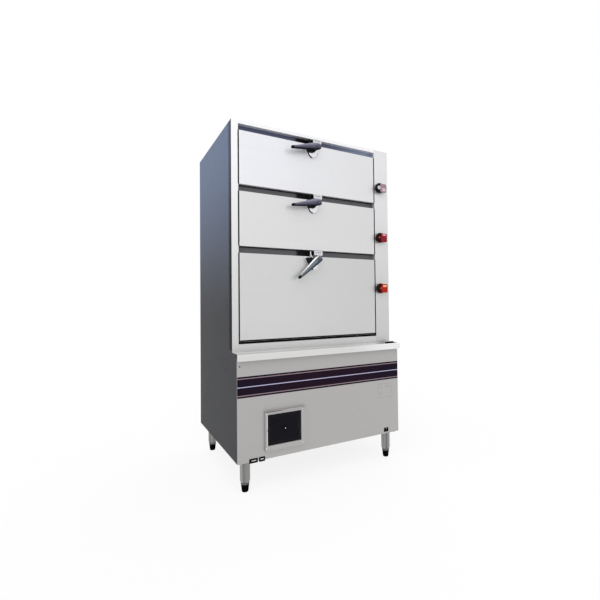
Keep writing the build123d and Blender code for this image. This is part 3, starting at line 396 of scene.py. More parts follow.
# painted highlight: the bright strips on the flap frame
addFinish("brightTrimSteel", "warm_steel", brushedSheet, (0.66, 0.66, 0.65), 0.28, metallic=0.7)
addFinish("linerSteel", "liner_steel", brushedSheet, (0.55, 0.56, 0.57), 0.3, grain="Y", metallic=0.9)
addFinish("bandSteel", "band_steel", seatSteel, **bandLook)
addFinish("legSteel", "pipe_steel", tubeSteel, (0.27, 0.27, 0.265))
addFinish("tankSteel", "liner_steel", limedSteel, (0.5, 0.5, 0.49), tideSpan)
addFinish("flueSteel", "pipe_steel", heatedSteel, (0.48, 0.47, 0.46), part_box("flue_duct")[0][2], reach=0.16)
addFinish("collarSteel", "pipe_steel", polished, (0.12, 0.12, 0.12), 0.3, 0.8)
addFinish("chromePlate", "chrome", polished, (0.8, 0.8, 0.82))
addFinish("keeperSteel", "chrome", polished, (0.66, 0.67, 0.7), 0.24, 0.6, flank=(-0.0394, -0.037))
addFinish("nutSteel", "chrome", polished, (0.62, 0.61, 0.6), 0.22, swirl=120.0)
addFinish("nutDarkSteel", "chrome", polished, (0.2, 0.13, 0.12), 0.25, 0.8, swirl=120.0)
addFinish("leverCapMetal", "lever_metal", polished, (0.08, 0.078, 0.122), 0.34, 0.55)
addFinish("latchDarkMetal", "dark_metal", polished, (0.01, 0.011, 0.015), 0.45, 0.1, specular=0.08)
addFinish("pipeSteel", None, polished, (0.5, 0.5, 0.5), 0.3, 0.9, swirl=90.0)
addFinish("brassFitting", None, polished, (0.62, 0.44, 0.18), 0.28, swirl=90.0)
addFinish("framePaint", "frame_steel", painted, (0.11, 0.115, 0.125), 0.5, 260.0)
addFinish("blackEnamel", "black_enamel", painted, (0.0072, 0.0072, 0.0098), 0.42, 180.0, 0.02, specular=0.04)
addFinish("rivetPaint", "black_enamel", painted, (0.024, 0.024, 0.03), 0.4, 180.0, 0.03, specular=0.2)
addFinish("blackRubber", "foot_plastic", painted, (0.004, 0.004, 0.005), 0.6, 420.0, 0.02, specular=0.05)
addFinish("valveCast", None, painted, (0.03, 0.014, 0.016), 0.25, 240.0, 0.04, metallic=0.2, coat=0.5)
addFinish("labelWhite", "light_steel", painted, (0.7, 0.7, 0.69), 0.35, coat=0.3)
addFinish("labelBlack", "black_enamel", painted, (0.003, 0.003, 0.004), dust=0.02, specular=0.06)
addFinish("labelFaint", "warm_steel", painted, (0.36, 0.34, 0.36), dust=0.03, specular=0.3)
addFinish("tipPlastic", "foot_plastic", moulded, (0.006, 0.006, 0.008), 0.45, specular=0.04)
addFinish("footPlastic", "foot_plastic", moulded, (0.0025, 0.0025, 0.003), 0.5, specular=0.0)
addFinish("glandPlastic", "gland_plastic", moulded, (0.022, 0.022, 0.024), 0.5)
addFinish("gasketSilicone", "gasket_rubber", softRubber, (0.52, 0.51, 0.48))
addFinish("mineralWool", None, woolSlab, (0.62, 0.52, 0.27))
addFinish("castIron", "cast_iron", castMetal, (0.075, 0.07, 0.068))
addFinish("blowerPaint", "blower_paint", hammered, (0.075, 0.12, 0.18))
addFinish("stripeFilm", "stripe_film", stripedFilm, stripeLook)
for name in doorNames:
    title, tones, (colour, farColour) = name.title(), handleTones[name], doorTones[name]
    addFinish("doorSteel" + title, "light_steel", brushedSheet, colour, 0.36,
              far={"colour": farColour, "span": (-0.3, 0.4)})
    addFinish("leverMetal" + title, "lever_metal", leverSkin, name, leverTones[name])
    addFinish("hub" + title, "dark_metal", moulded, tones["hub"], 0.4, 700.0, tones["hubSpecular"])
    addFinish("wing" + title, "red_plastic", moulded, tones["wing"], tones["wingRoughness"], 700.0,
              tones["specular"])
    addFinish("mark" + title, "red_plastic", moulded, tones["mark"], 0.4, 700.0, tones["specular"])
print("finishes made:", len(finishes))


# Pieces
def placed(name, data):
    made = bpy.data.objects.new(name, data)
    bpy.context.collection.objects.link(made)
    return made


def newPiece(name, mesh, finish, body="cabinet", replaces=()):
    piece = placed(name, mesh)
    mesh.materials.clear()
    mesh.materials.append(finishes[finish])
    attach(piece, body)
    if replaces:
        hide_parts(*replaces)


def smooth(mesh, sharpAngle=35.0):
    mesh.shade_smooth()
    mesh.set_sharp_from_angle(angle=math.radians(sharpAngle))
    return mesh


def plainMesh(name, helper):
    # the helper's mesh with its modifiers applied; the helper goes
    graph = bpy.context.evaluated_depsgraph_get()
    mesh = bpy.data.meshes.new_from_object(helper.evaluated_get(graph), depsgraph=graph)
    mesh.name = name
    bpy.data.objects.remove(helper)
    return mesh


def settled(name, work, modifiers):
    mesh = bpy.data.meshes.new(name + "Work")
    work.to_mesh(mesh)
    work.free()
    helper = placed(name + "Helper", smooth(mesh))
    for kind, settings in modifiers:
        modifier = helper.modifiers.new(kind.title(), kind)
        for key, value in settings.items():
            setattr(modifier, key, value)
    return plainMesh(name, helper)


def bevelled(width, segments=2, angle=38.0):
    return ("BEVEL", {"width": width, "segments": segments, "limit_method": "ANGLE",
                      "angle_limit": math.radians(angle), "harden_normals": True})


def softened(node, name, finish, body, width):
    # the CAD piece with its edges rounded, in its place
    work = bmesh.new()
    work.from_mesh(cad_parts[node].data)
    bmesh.ops.remove_doubles(work, verts=work.verts, dist=1e-6)
    bmesh.ops.dissolve_limit(work, angle_limit=math.radians(1.0), verts=work.verts, edges=work.edges)
    mesh = settled(name, work, [bevelled(width)])
    low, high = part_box(node)
    for vert in mesh.vertices:
        vert.co = Vector(min(max(vert.co[axis], low[axis]), high[axis]) for axis in range(3))
    newPiece(name, mesh, finish, body, [node])


def meshOf(name, solids, bevel=None, cut=None):
    # a solid is a row of rings with faces between them; a closed row runs round a hole
    work = bmesh.new()
    for rings, closed in solids:
        made = [[work.verts.new(spot) for spot in ring] for ring in rings]
        for near, far in zip(made, made[1:] + (made[:1] if closed else [])):
            for step in range(len(near)):
                work.faces.new((near[step - 1], near[step], far[step], far[step - 1]))
        for ring in () if closed else (made[0], made[-1]):
            if (ring[0].co - ring[len(ring) // 2].co).length > 1e-5:
                work.faces.new(ring)
    bmesh.ops.remove_doubles(work, verts=work.verts, dist=1e-6)
    bmesh.ops.recalc_face_normals(work, faces=work.faces)
    if not cut:
        return settled(name, work, [bevelled(*bevel)] if bevel else [])
    cutter = placed(name + "Cutter", meshOf(name + "Cutter", cut))
    settings = {"operation": "DIFFERENCE", "solver": "EXACT", "object": cutter}
    mesh = settled(name, work, [("BOOLEAN", settings)])
    bpy.data.objects.remove(cutter)
    return mesh


def solidPiece(name, solids, finish, body="cabinet", replaces=(), bevel=None, cut=None):
    # bevel: width, and segments and angle where they differ
    newPiece(name, meshOf(name, solids, bevel, cut), finish, body, replaces)


def block(ends, depths, levels):
    (left, right), (near, far) = ends, depths
    return [[(left, near, z), (right, near, z), (right, far, z), (left, far, z)] for z in levels], False


def turned(profile, centre, axis="Y", steps=32, spin=0.0, hole=False):
    # profile: (radius, height) pairs from one end to the other, or round a hole
    rings = []
    for radius, height in profile:
        ring = []
        for step in range(steps):
            angle = 2 * math.pi * step / steps + spin
            x, y = radius * math.cos(angle), radius * math.sin(angle)
            ring.append(Vector(centre) + Vector((x, height, y) if axis == "Y" else (x, y, height)))
        rings.append(ring)
    return rings, hole


def plate(outline, front, back, hole=None):
    # outline in X and Z, drawn out along Y, with an optional hole of as many points
    layers = [(outline, front), (outline, back)]
    if hole:
        layers += [(hole, back), (hole, front)]
    return [[(x, depth, z) for x, z in points] for points, depth in layers], bool(hole)


def arcPoints(centre, radius, start, end, steps):
    turns = [math.radians(start + (end - start) * step / steps) for step in range(steps + 1)]
    return [(centre[0] + radius * math.cos(turn), centre[1] + radius * math.sin(turn)) for turn in turns]


def hullOf(points):
    # the outline of the smallest rounded shape that holds all the points
    points = sorted(set(points))

    def halfOf(row):
        chain = []
        for spot in row:
            while len(chain) > 1:
                (ax, az), (bx, bz) = chain[-2:]
                if (bx - ax) * (spot[1] - az) - (bz - az) * (spot[0] - ax) > 0:
                    break
                chain.pop()
            chain.append(spot)
        return chain[:-1]

    return halfOf(points) + halfOf(points[::-1])


def about(middle, size):
    return middle - size / 2, middle + size / 2


# Boxes of flat outlines: left, right, low, high
def shifted(box, x, z):
    return box[0] + x, box[1] + x, box[2] + z, box[3] + z


def narrowed(box, by):
    return box[0] + by, box[1] - by, box[2] + by, box[3] - by


def rounded(box, radius, steps=6):
    left, right, low, high = narrowed(box, radius)
    points = []
    for centre, start in (((right, high), 0), ((left, high), 90), ((left, low), 180), ((right, low), 270)):
        points += arcPoints(centre, radius, start, start + 90, steps)
    return points


# Geometry Nodes trees; each gets its shape or path first and its finish last
class Recipe(Graph):
    def __init__(self, name, sizes):
        super().__init__(bpy.data.node_groups.new(name, "GeometryNodeTree"))
        self.keys = {}
        for label, kind, value in [("Geometry", "Geometry", None), *sizes, ("Finish", "Material", None)]:
            socket = self.tree.interface.new_socket(label, in_out="INPUT", socket_type="NodeSocket" + kind)
            if value is not None:
                socket.default_value = value
            self.keys[label] = socket.identifier
        self.tree.interface.new_socket("Geometry", in_out="OUTPUT", socket_type="NodeSocketGeometry")

    def given(self, label):
        return self.add("NodeGroupInput", out=label)

    def end(self, shape):
        whole = self.add("GeometryNodeRealizeInstances", None, {0: shape})
        inputs = {"Geometry": whole, "Material": self.given("Finish")}
        self.add("NodeGroupOutput", None, {0: self.add("GeometryNodeSetMaterial", None, inputs)})

    def copies(self, points, shape, **turn):
        inputs = {"Points": points, "Instance": shape, **turn}
        self.end(self.add("GeometryNodeInstanceOnPoints", None, inputs))

    def piece(self, name, source, finish, body="cabinet", replaces=(), **sizes):
        # sets the inputs before the first evaluation and makes a piece of the plain mesh
        helper = placed(name + "Helper", source)
        modifier = helper.modifiers.new("Recipe", "NODES")
        modifier.node_group = self.tree
        for label, value in {**sizes, "Finish": finishes[finish]}.items():
            modifier[self.keys[label]] = value
        newPiece(name, smooth(plainMesh(name, helper)), finish, body, replaces)


def fastenerRecipe():
    # heads on the points of a mesh, each turned by a random angle about the driving axis
    recipe = Recipe("fasteners", [("Head", "Object", None), ("Aim", "Rotation", None), ("Seed", "Int", 7)])
    head = recipe.add("GeometryNodeObjectInfo", {"transform_space": "ORIGINAL"},
                      {"Object": recipe.given("Head")}, out="Geometry")
    fullTurn = 6.283
    angle = recipe.add("FunctionNodeRandomValue", {"data_type": "FLOAT"},
                       {2: 0.0, 3: fullTurn, "Seed": recipe.given("Seed")}, out=1)
    spin = recipe.add("ShaderNodeCombineXYZ", None, {2: angle})
    inputs = {0: recipe.given("Aim"), 1: recipe.add("FunctionNodeEulerToRotation", None, {0: spin})}
    aimed = recipe.add("FunctionNodeRotateRotation", {"rotation_space": "LOCAL"}, inputs)
    recipe.copies(recipe.given("Geometry"), head, Rotation=aimed)
    return recipe


def rowRecipe():
    # a copy of the given shape at each step of a row, for bars, ribs and slats
    recipe = Recipe("row", [("Count", "Int", 5), ("Step", "Vector", None)])
    inputs = {"Count": recipe.given("Count"), "Offset": recipe.given("Step")}
    recipe.copies(recipe.add("GeometryNodeMeshLine", {"mode": "OFFSET"}, inputs), recipe.given("Geometry"))
    return recipe


def sweepRecipe():
    # an oval profile drawn along the edges of a path
    recipe = Recipe("sweep", [("Width", "Float", 0.01), ("Height", "Float", 0.01), ("Sides", "Int", 8)])
    path = recipe.add("GeometryNodeMeshToCurve", None, {0: recipe.given("Geometry")})
    inputs = {0: recipe.given("Sides"), 4: 1.0}
    ring = recipe.add("GeometryNodeCurvePrimitiveCircle", {"mode": "RADIUS"}, inputs)
    halves = {0: recipe.given("Width") / 2, 1: recipe.given("Height") / 2, 2: 1.0}
    inputs = {"Geometry": ring, "Scale": recipe.add("ShaderNodeCombineXYZ", None, halves)}
    oval = recipe.add("GeometryNodeTransform", None, inputs)
    inputs = {"Curve": path, "Profile Curve": oval, "Fill Caps": True}
    recipe.end(recipe.add("GeometryNodeCurveToMesh", None, inputs))
    return recipe


def latticeRecipe():
    # a copy of the given shape on each point of a flat grid, for ports and perforations
    sizes = [("SizeX", "Float", 0.1), ("SizeY", "Float", 0.1), ("CountX", "Int", 3), ("CountY", "Int", 3)]
    recipe = Recipe("lattice", [*sizes, ("Centre", "Vector", None)])
    inputs = {number: recipe.given(size[0]) for number, size in enumerate(sizes)}
    grid = recipe.add("GeometryNodeMeshGrid", None, inputs)
    inputs = {"Geometry": grid, "Translation": recipe.given("Centre")}
    recipe.copies(recipe.add("GeometryNodeTransform", None, inputs), recipe.given("Geometry"))
    return recipe


fasteners, rows, sweeps, lattices = fastenerRecipe(), rowRecipe(), sweepRecipe(), latticeRecipe()


def pathMesh(name, loops=(), lines=()):
    # closed loops and open lines of points as the edges of one mesh
    spots, edges = [], []
    for path, closed in [(loop, True) for loop in loops] + [(line, False) for line in lines]:
        start, end = len(spots), len(spots) + len(path) - 1
        spots += path
        edges += [(step, step + 1) for step in range(start, end)]
        if closed:
            edges.append((end, start))
    mesh = bpy.data.meshes.new(name)
    mesh.from_pydata(spots, edges, [])
    return mesh


print("node trees made")


# Camera, at the photograph's viewing angle
shot = {"at": (-1.0779, -2.2948, 0.9399), "yaw": 29.64, "pitch": 1.21, "roll": -0.61, "focal": 396.03,
        "centreX": 325.33, "centreY": 294.52, "picture": 600.0}
turns = ((-shot["yaw"], "Z"), (90.0 + shot["pitch"], "X"), (shot["roll"], "Z"))
cameraData = bpy.data.cameras.new("camera")
cameraData.lens = shot["focal"] / shot["picture"] * cameraData.sensor_width
cameraData.shift_x = (shot["picture"] / 2 - shot["centreX"]) / shot["picture"]
cameraData.shift_y = (shot["centreY"] - shot["picture"] / 2) / shot["picture"]
camera = placed("camera", cameraData)
view = Matrix.Translation(shot["at"])
for angle, axis in turns:
    view = view @ Matrix.Rotation(math.radians(angle), 4, axis)
camera.matrix_world = view
bpy.context.scene.camera = camera
bpy.context.scene.view_settings.view_transform = "Standard"

# Floor, world and lamps
studio = {"floorHalf": 30.0, "floorTone": (0.94, 0.94, 0.94), "floorGlow": 0.85, "worldFill": 0.72,
          "white": (1.0, 1.0, 1.0, 1.0),
          "suns": [("keySun", (-0.45, -0.8, 0.85), 1.35, 55.0), ("rearSun", (0.7, 0.9, 0.9), 0.35, 60.0)]}


def seenDirectly(graph):
    kinds = ("Camera", "Glossy", "Transmission")
    rays = [graph.add("ShaderNodeLightPath", out=f"Is {kind} Ray") for kind in kinds]
    return rays[0].most(rays[1]).most(rays[2])


def makeFloor():
    half, tone = studio["floorHalf"], studio["floorTone"]
    mesh = bpy.data.meshes.new("floor")
    corners = [(-half, -half, 0), (half, -half, 0), (half, half, 0), (-half, half, 0)]
    mesh.from_pydata(corners, [], [(0, 1, 2, 3)])
    finish = Finish("paleFloor")
    cloud = finish.noise(1.4, 2.0)
    lit = finish.shade(cloud, 0.0002, 0.05, finish.blend(cloud, scaled(tone, 0.995), tone), 0.85)
    glow = finish.add("ShaderNodeEmission", None, {"Color": studio["white"], "Strength": 1.0})
    inputs = {0: seenDirectly(finish) * studio["floorGlow"], 1: lit, 2: glow}
    mesh.materials.append(finish.end(finish.add("ShaderNodeMixShader", None, inputs)))
    placed("floor", mesh)


def makeWorld():
    world = bpy.data.worlds.new("studioWorld")
    bpy.context.scene.world = world
    world.use_nodes = True
    graph = Graph(world.node_tree)
    graph.tree.nodes.clear()
    strength = seenDirectly(graph) * (1 - studio["worldFill"]) + studio["worldFill"]
    light = graph.add("ShaderNodeBackground", None, {"Color": studio["white"], "Strength": strength})
    graph.add("ShaderNodeOutputWorld", None, {0: light})


def makeLamps():
    for name, toward, strength, softness in studio["suns"]:
        data = bpy.data.lights.new(name, "SUN")
        data.energy, data.angle = strength, math.radians(softness)
        lamp = placed(name, data)
        lamp.location = Vector(toward) * 4
        lamp.rotation_euler = Vector(toward).to_track_quat("Z", "Y").to_euler()


makeFloor()
makeWorld()
makeLamps()
print("stage set")

# Sheet metal shell: each sheet keeps its size and gets rounded folds of the width given
shell = {
    "side_panel_left": ("sidePanelLeft", "sideSteel", 0.0005),
    "side_panel_right": ("sidePanelRight", "sideSteel", 0.0005),
    "back_panel": ("backPanel", "backSteel", 0.0004),
    "top_panel": ("topPanel", "backSteel", 0.0005),
    "stile_left": ("stileLeft", "frontFrameSteel", 0.0006),
    "stile_right": ("stileRight", "rightStileSteel", 0.0006),
    "head_rail": ("headRail", "frontFrameSteel", 0.0006),
    "sill_rail": ("sillRail", "frontFrameSteel", 0.0006),
    "seat_frame": ("seatFrame", "bandSteel", 0.0005),
    "gutter": ("gutterBody", "gutterSteel", 0.0005),
    "base_front_panel": ("baseFrontPanel", "baseSteel", 0.0005),
    "flap_frame": ("flapFrame", "baseSteel", 0.0007),
    "base_frame": ("baseFrame", "framePaint", 0.0015),
    "legs": ("legTubes", "legSteel", 0.0008),
    "chamber_floors": ("chamberFloors", "linerSteel", 0.0004),
    "chamber_roofs": ("chamberRoofs", "linerSteel", 0.0004),
    "liner_walls": ("linerWalls", "linerSteel", 0.0004),
    "water_tank": ("waterTank", "tankSteel", 0.0012),
    "flue_duct": ("flueDuct", "flueSteel", 0.0005),
    "burner": ("burnerBody", "castIron", 0.002),
}
for node, (name, finish, width) in shell.items():
    softened(node, name, finish, "cabinet", width)
softened("flap", "flapPlate", "blackEnamel", "flap_door", 0.0012)
for part, label, width in (("skin", "Skin", 0.0009), ("inner", "Pan", 0.0008)):
    for name in doorNames:
        finish = "doorSteel" + name.title() if part == "skin" else "linerSteel"
        softened(f"door_{name}_{part}", f"door{name.title()}{label}", finish, "door_" + name, width)
print("shell done")

# Painted shade: black strips in the running gaps round the doors and on the stile beside them, and a black
# bar along the foot of the lowest door
gapShade = {"frontY": faceY + 0.001, "backY": -0.3015, "below": (0.7345, 0.7428), "belowMargin": 0.004,
           # by the side of the doors: -1 is the left, 1 the right
           "offEdge": {-1: 0.0016, 1: 0.0004}, "width": {-1: 0.0028, 1: 0.0042}, "stileShadeLap": 0.0004,
           "stileShade": {-1: 0.0036, 1: 0.003}, "stileShadeY": (faceY - 0.0005, faceY + 0.0011),
           "sweep": (0.7464, 0.7535), "footShadeMargin": 0.0002, "footShadeY": (faceY - 0.0004, faceY + 0.0003)}


def gapShadeStrips():
    left, right = doorBox["lower"][0][0], doorBox["lower"][1][0]
    depths, margin = (gapShade["frontY"], gapShade["backY"]), gapShade["belowMargin"]
    strips = [block((left - margin, right + margin), depths, gapShade["below"])]
    for name in doorNames:
        levels = (gapShade["below"][0] if name == "lower" else doorBox[name][0][2], doorBox[name][1][2])
        for edge, side in ((left, -1), (right, 1)):
            near = edge + side * gapShade["offEdge"][side]
            far = near + side * gapShade["width"][side]
            strips.append(block((near, far), depths, levels))
            # a flat black strip of painted shade on the stile beside the gap
            start = far - side * gapShade["stileShadeLap"]
            ends = (start, start + side * gapShade["stileShade"][side])
            strips.append(block(ends, gapShade["stileShadeY"], levels))
    return strips


footShadeX = (doorBox["lower"][0][0] + gapShade["footShadeMargin"], doorBox["lower"][1][0] - gapShade["footShadeMargin"])
solidPiece("gapSeals", gapShadeStrips(), "blackRubber", bevel=(0.0003, 1))
solidPiece("doorSweep", [block(footShadeX, gapShade["footShadeY"], gapShade["sweep"])], "blackRubber", "door_lower",
           bevel=(0.0002, 1))

# Latch levers: boat-shaped, with a black tip, and a black strip along the underside that is painted shade
lever = {
    "middleY": -0.363, "boreRadius": 0.0054, "boreY": (-0.02, 0.02), "corners": 28, "squareness": 0.62,
    # sections: distance from the pivot, top, bottom, half width
    "stations": [
        (-0.0199, 0.005, -0.006, 0.006), (-0.019, 0.0095, -0.01, 0.0078), (-0.0165, 0.0135, -0.0135, 0.0088),
        (-0.011, 0.0178, -0.0162, 0.009), (0.0, 0.02, -0.0172, 0.009), (0.015, 0.0208, -0.017, 0.009),
        (0.032, 0.0205, -0.016, 0.009), (0.05, 0.0186, -0.0148, 0.0089), (0.072, 0.0158, -0.0132, 0.0087),
        (0.095, 0.013, -0.0116, 0.0085), (0.12, 0.0102, -0.0098, 0.0082), (0.142, 0.008, -0.0082, 0.0079),
        (0.15, 0.0072, -0.0074, 0.0076),
    ],
    "stripTop": 0.005, "stripProud": 0.0004,
    "tip": [(0.147, 0.0078, -0.008, 0.008), (0.153, 0.008, -0.0081, 0.0082), (0.16, 0.0072, -0.0073, 0.0076),
            (0.164, 0.005, -0.0052, 0.0055), (0.165, 0.0024, -0.0026, 0.003)],
}


def leverSolid(door, pivot, stations):
    turn = math.radians(leverPlace["drops"][door])
    outward = Vector((-math.cos(turn), 0, -math.sin(turn)))
    upward = Vector((-math.sin(turn), 0, math.cos(turn)))
    rings = []
    for distance, top, bottom, half in stations:
        ring = []
        for corner in range(lever["corners"]):
            angle = 2 * math.pi * corner / lever["corners"]
            rise, side = (math.copysign(abs(part) ** lever["squareness"], part)
                          for part in (math.sin(angle), math.cos(angle)))
            height = (top + bottom) / 2 + rise * (top - bottom) / 2
            ring.append(pivot + outward * distance + upward * height + Vector((0, side * half, 0)))
        rings.append(ring)
    return rings, False


def makeLever(door):
    title, body = door.title(), "lever_" + door
    pivot = Vector((leverPlace["pivotX"], lever["middleY"], pivotHeight(door)))
    bore = turned([(lever["boreRadius"], end) for end in lever["boreY"]], pivot, steps=24)
    proud = lever["stripProud"]
    # painted shade: a black strip along the lever's underside, joined to the tip
    strip = [(distance, bottom + lever["stripTop"], bottom - proud, half + proud)
             for distance, top, bottom, half in lever["stations"][2:-1]]
    solidPiece("lever" + title, [leverSolid(door, pivot, lever["stations"])], "leverMetal" + title, body,
               ["latch_lever_" + door], cut=[bore])
    solidPiece("leverGrip" + title, [leverSolid(door, pivot, strip), leverSolid(door, pivot, lever["tip"])],
               "tipPlastic", body)


# Latch brackets: a plate with a round bowl, a dark case and a claw; the case's near-black and the Shadow
# sweep round the bowl are painted shade
bracket = {
    # places in X and Z are counted from the pivot
    "plateY": (faceY - 0.004, faceY), "crown": (-0.068, 0.016, 0.002, 0.014), "crownRound": 0.004,
    "bowl": (-0.014, -0.027), "bowlRadius": 0.035,
    "dome": [(0.0272, 0.0), (0.0268, -0.004), (0.0262, -0.0066), (0.0225, -0.0088), (0.012, -0.0106),
             (0.0, -0.011)],
    "case": [(-0.063, 0.01), (-0.006, 0.01), (-0.004, -0.014), (-0.016, -0.031), (-0.044, -0.031),
             (-0.06, -0.014)],
    "caseY": (-0.3495, -0.331),
    "boss": [(0.015, faceY - 0.003), (0.015, -0.353), (0.005, -0.353), (0.005, -0.373)],
    "cap": [(0.009, -0.3732), (0.009, -0.375), (0.0072, -0.3759), (0.0, -0.376)],
    "clawShift": -0.0075, "clawInner": 0.029, "clawOuter": 0.035, "clawArc": (164.0, 288.0),
    "clawY": (-0.343, faceY),
    "edge": 0.03, "edges": {"Shadow": (0.0056, 150.0, 262.0), "Rim": (0.0018, 262.0, 372.0)},
}
keeper = {"x": (-0.04, 0.016), "y": (-0.348, -0.303), "round": 0.006, "margin": 0.005,
          "baseX": (-0.048, 0.024), "baseY": (-0.303, -0.3), "baseRound": 0.005,
          "groove": (0.034, 0.0024), "grooveY": (-0.3484, -0.347), "grooveRise": 0.003}
bandTop = {"lower": doorBox["middle"][0][2], "middle": doorBox["upper"][0][2],
           "upper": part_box("head_rail")[0][2]}


def keeperSpan(door):
    return doorBox[door][1][2] + keeper["margin"], bandTop[door] - keeper["margin"]


def makeBracket(door):
    title, body, frontY = door.title(), "door_" + door, bracket["plateY"][0]
    pivotX, pivotZ = leverPlace["pivotX"], pivotHeight(door)
    pin, bowl = (pivotX, 0, pivotZ), (pivotX + bracket["bowl"][0], pivotZ + bracket["bowl"][1])
    crown = rounded(shifted(bracket["crown"], pivotX, pivotZ), bracket["crownRound"], 4)
    outline = hullOf(crown + arcPoints(bowl, bracket["bowlRadius"], 0, 360, 64))
    case = plate([(pivotX + x, pivotZ + z) for x, z in bracket["case"]], *bracket["caseY"])
    centre, (start, end) = (pivotX + bracket["clawShift"], sum(keeperSpan(door)) / 2), bracket["clawArc"]
    claw = arcPoints(centre, bracket["clawOuter"], start, end, 28)
    claw += arcPoints(centre, bracket["clawInner"], end, start, 28)
    dome = turned(bracket["dome"], (bowl[0], faceY, bowl[1]), steps=48)
    boss = turned(bracket["boss"], pin, steps=36)
    solidPiece("latchPlate" + title, [plate(outline, *bracket["plateY"])], "chromePlate", body,
               ["latch_bracket_" + door], bevel=(0.0009,))
    solidPiece("latchBowl" + title, [dome], "chromePlate", body)
    solidPiece("latchCase" + title, [case, boss], "latchDarkMetal", body, bevel=(0.0016,))
    solidPiece("latchPinCap" + title, [turned(bracket["cap"], pin)], "leverCapMetal", body)
    # painted shade: the claws of the upper two doors are dark copies of the lower one's chrome
    solidPiece("latchClaw" + title, [plate(claw, *bracket["clawY"])],
               "chromePlate" if door == "lower" else "latchDarkMetal", body, bevel=(0.0016,))
    for part, (width, start, end) in bracket["edges"].items():
        name = f"latch{part}{title}"
        line = [(x, frontY, z) for x, z in arcPoints(bowl, bracket["edge"], start, end, 30)]
        path = pathMesh(name + "Path", lines=[line])
        sweeps.piece(name, path, "latchDarkMetal", body, Width=width, Height=width)


tongues, grooves = [], []
for name in doorNames:
    makeLever(name)
    makeBracket(name)
    span = keeperSpan(name)
    tongues.append(plate(rounded((*keeper["x"], *span), keeper["round"]), *keeper["y"]))
    tongues.append(plate(rounded((*keeper["baseX"], *span), keeper["baseRound"], 4), *keeper["baseY"]))
    width, height = keeper["groove"]
    x, z = sum(keeper["x"]) / 2, sum(span) / 2 + keeper["grooveRise"]
    grooves.append(block(about(x, width), keeper["grooveY"], about(z, height)))
solidPiece("keeperTongues", tongues, "keeperSteel", "cabinet", ["keepers"], bevel=(0.0018,))
solidPiece("keeperGrooves", grooves, "latchDarkMetal", bevel=(0.0002, 1))
print("latches done")

# Steam valve handles: a dark hub with a nut, and a glossy wing with a painted highlight as a pale raised
# strip
valve = {
    "x": 0.427, "z": {"lower": 1.026, "middle": 1.339, "upper": 1.648},
    "hub": [(0.006, -0.301), (0.006, -0.3366), (0.0285, -0.3366), (0.03, -0.3385), (0.03, -0.3475),
            (0.0285, -0.35), (0.024, -0.3512), (0.016, -0.35), (0.0, -0.35)],
    "wing": (0.0, 0.047, -0.0265, 0.0265), "wingY": (-0.353, -0.3378), "wingRound": 0.009,
    # each nut's radius, its place in X and its finish; the upper nut's bright finish and the others' dark one
    # are painted light and shade
    "nut": {"lower": (0.0062, -0.006, "nutDarkSteel"), "middle": (0.0062, -0.012, "nutDarkSteel"),
            "upper": (0.0125, -0.01, "nutSteel")},
    "nutY": (-0.353, -0.3495), "nutSpin": 0.3, "markY": (-0.3534, -0.3522), "markRound": 0.003,
    "mark": {"lower": (0.01, 0.038, 0.008, 0.019), "middle": (0.012, 0.036, 0.012, 0.022),
             "upper": (0.014, 0.04, -0.02, 0.0)},
}
for name in doorNames:
    title, body, x, z = name.title(), "steam_handle_" + name, valve["x"], valve["z"][name]
    radius, shift, nutFinish = valve["nut"][name]
    wing = rounded(shifted(valve["wing"], x, z), valve["wingRound"])
    nut = [(radius, depth) for depth in valve["nutY"]]
    nut = turned(nut, (x + shift, 0, z), steps=6, spin=valve["nutSpin"])
    mark = rounded(shifted(valve["mark"][name], x, z), valve["markRound"], 4)
    solidPiece("handleHub" + title, [turned(valve["hub"], (x, 0, z), steps=48)], "hub" + title, body,
               ["valve_handle_" + name])
    solidPiece("handleWing" + title, [plate(wing, *valve["wingY"])], "wing" + title, body, bevel=(0.0035, 3))
    solidPiece("handleNut" + title, [nut], nutFinish, body, bevel=(0.0008,))
    solidPiece("handleMark" + title, [plate(mark, *valve["markY"])], "mark" + title, body, bevel=(0.0003, 1))
print("handles done")

# Flap and its frame: painted highlights as bright strips on the frame's left edge and ledge, a dark knob with
# a small screw, rivets and a pressed border
flapBox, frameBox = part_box("flap"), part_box("flap_frame")
trim = {
    "highlightX": (-0.3522, -0.3482), "highlightY": (-0.4167, -0.415), "highlightZ": [(0.226, 0.296), (0.312, 0.381)],
    "ledgeX": (0.001, 0.09), "ledgeDepth": 0.001, "ledgeZ": (0.3958, 0.3988), "flapFront": -0.411,
    "borderX": 0.007, "borderInset": 0.009, "borderRound": 0.004,
    "borderSize": {"Width": 0.002, "Height": 0.0012},
    "rivet": [(0.003, 0.0004), (0.0028, -0.0007), (0.0014, -0.0012), (0.0, -0.0013)],
    "rivets": [(-0.333, 0.304), (-0.176, 0.302)], "knobAt": (-0.2545, 0, 0.3035),
    "knob": [(0.004, -0.4105), (0.004, -0.415), (0.0068, -0.4155), (0.008, -0.417), (0.008, -0.42),
             (0.0066, -0.4216), (0.0, -0.4217)],
    "screw": [(0.0026, -0.421), (0.0026, -0.4217), (0.0014, -0.4219), (0.0, -0.42195)],
}
highlightStrips = [block(trim["highlightX"], trim["highlightY"], levels) for levels in trim["highlightZ"]]
left, front = frameBox[0][:2]
highlightStrips.append(block([left + x for x in trim["ledgeX"]], (front, front + trim["ledgeDepth"]), trim["ledgeZ"]))
solidPiece("flapFrameBeads", highlightStrips, "brightTrimSteel", bevel=(0.0003, 1))
rivets = [turned(trim["rivet"], (x, trim["flapFront"], z), steps=16) for x, z in trim["rivets"]]
solidPiece("flapRivets", rivets, "rivetPaint", "flap_door")
solidPiece("flapKnobGrip", [turned(trim["knob"], trim["knobAt"])], "tipPlastic", "flap_door", ["flap_knob"])
solidPiece("flapKnobScrew", [turned(trim["screw"], trim["knobAt"], steps=16)], "chromePlate", "flap_door")
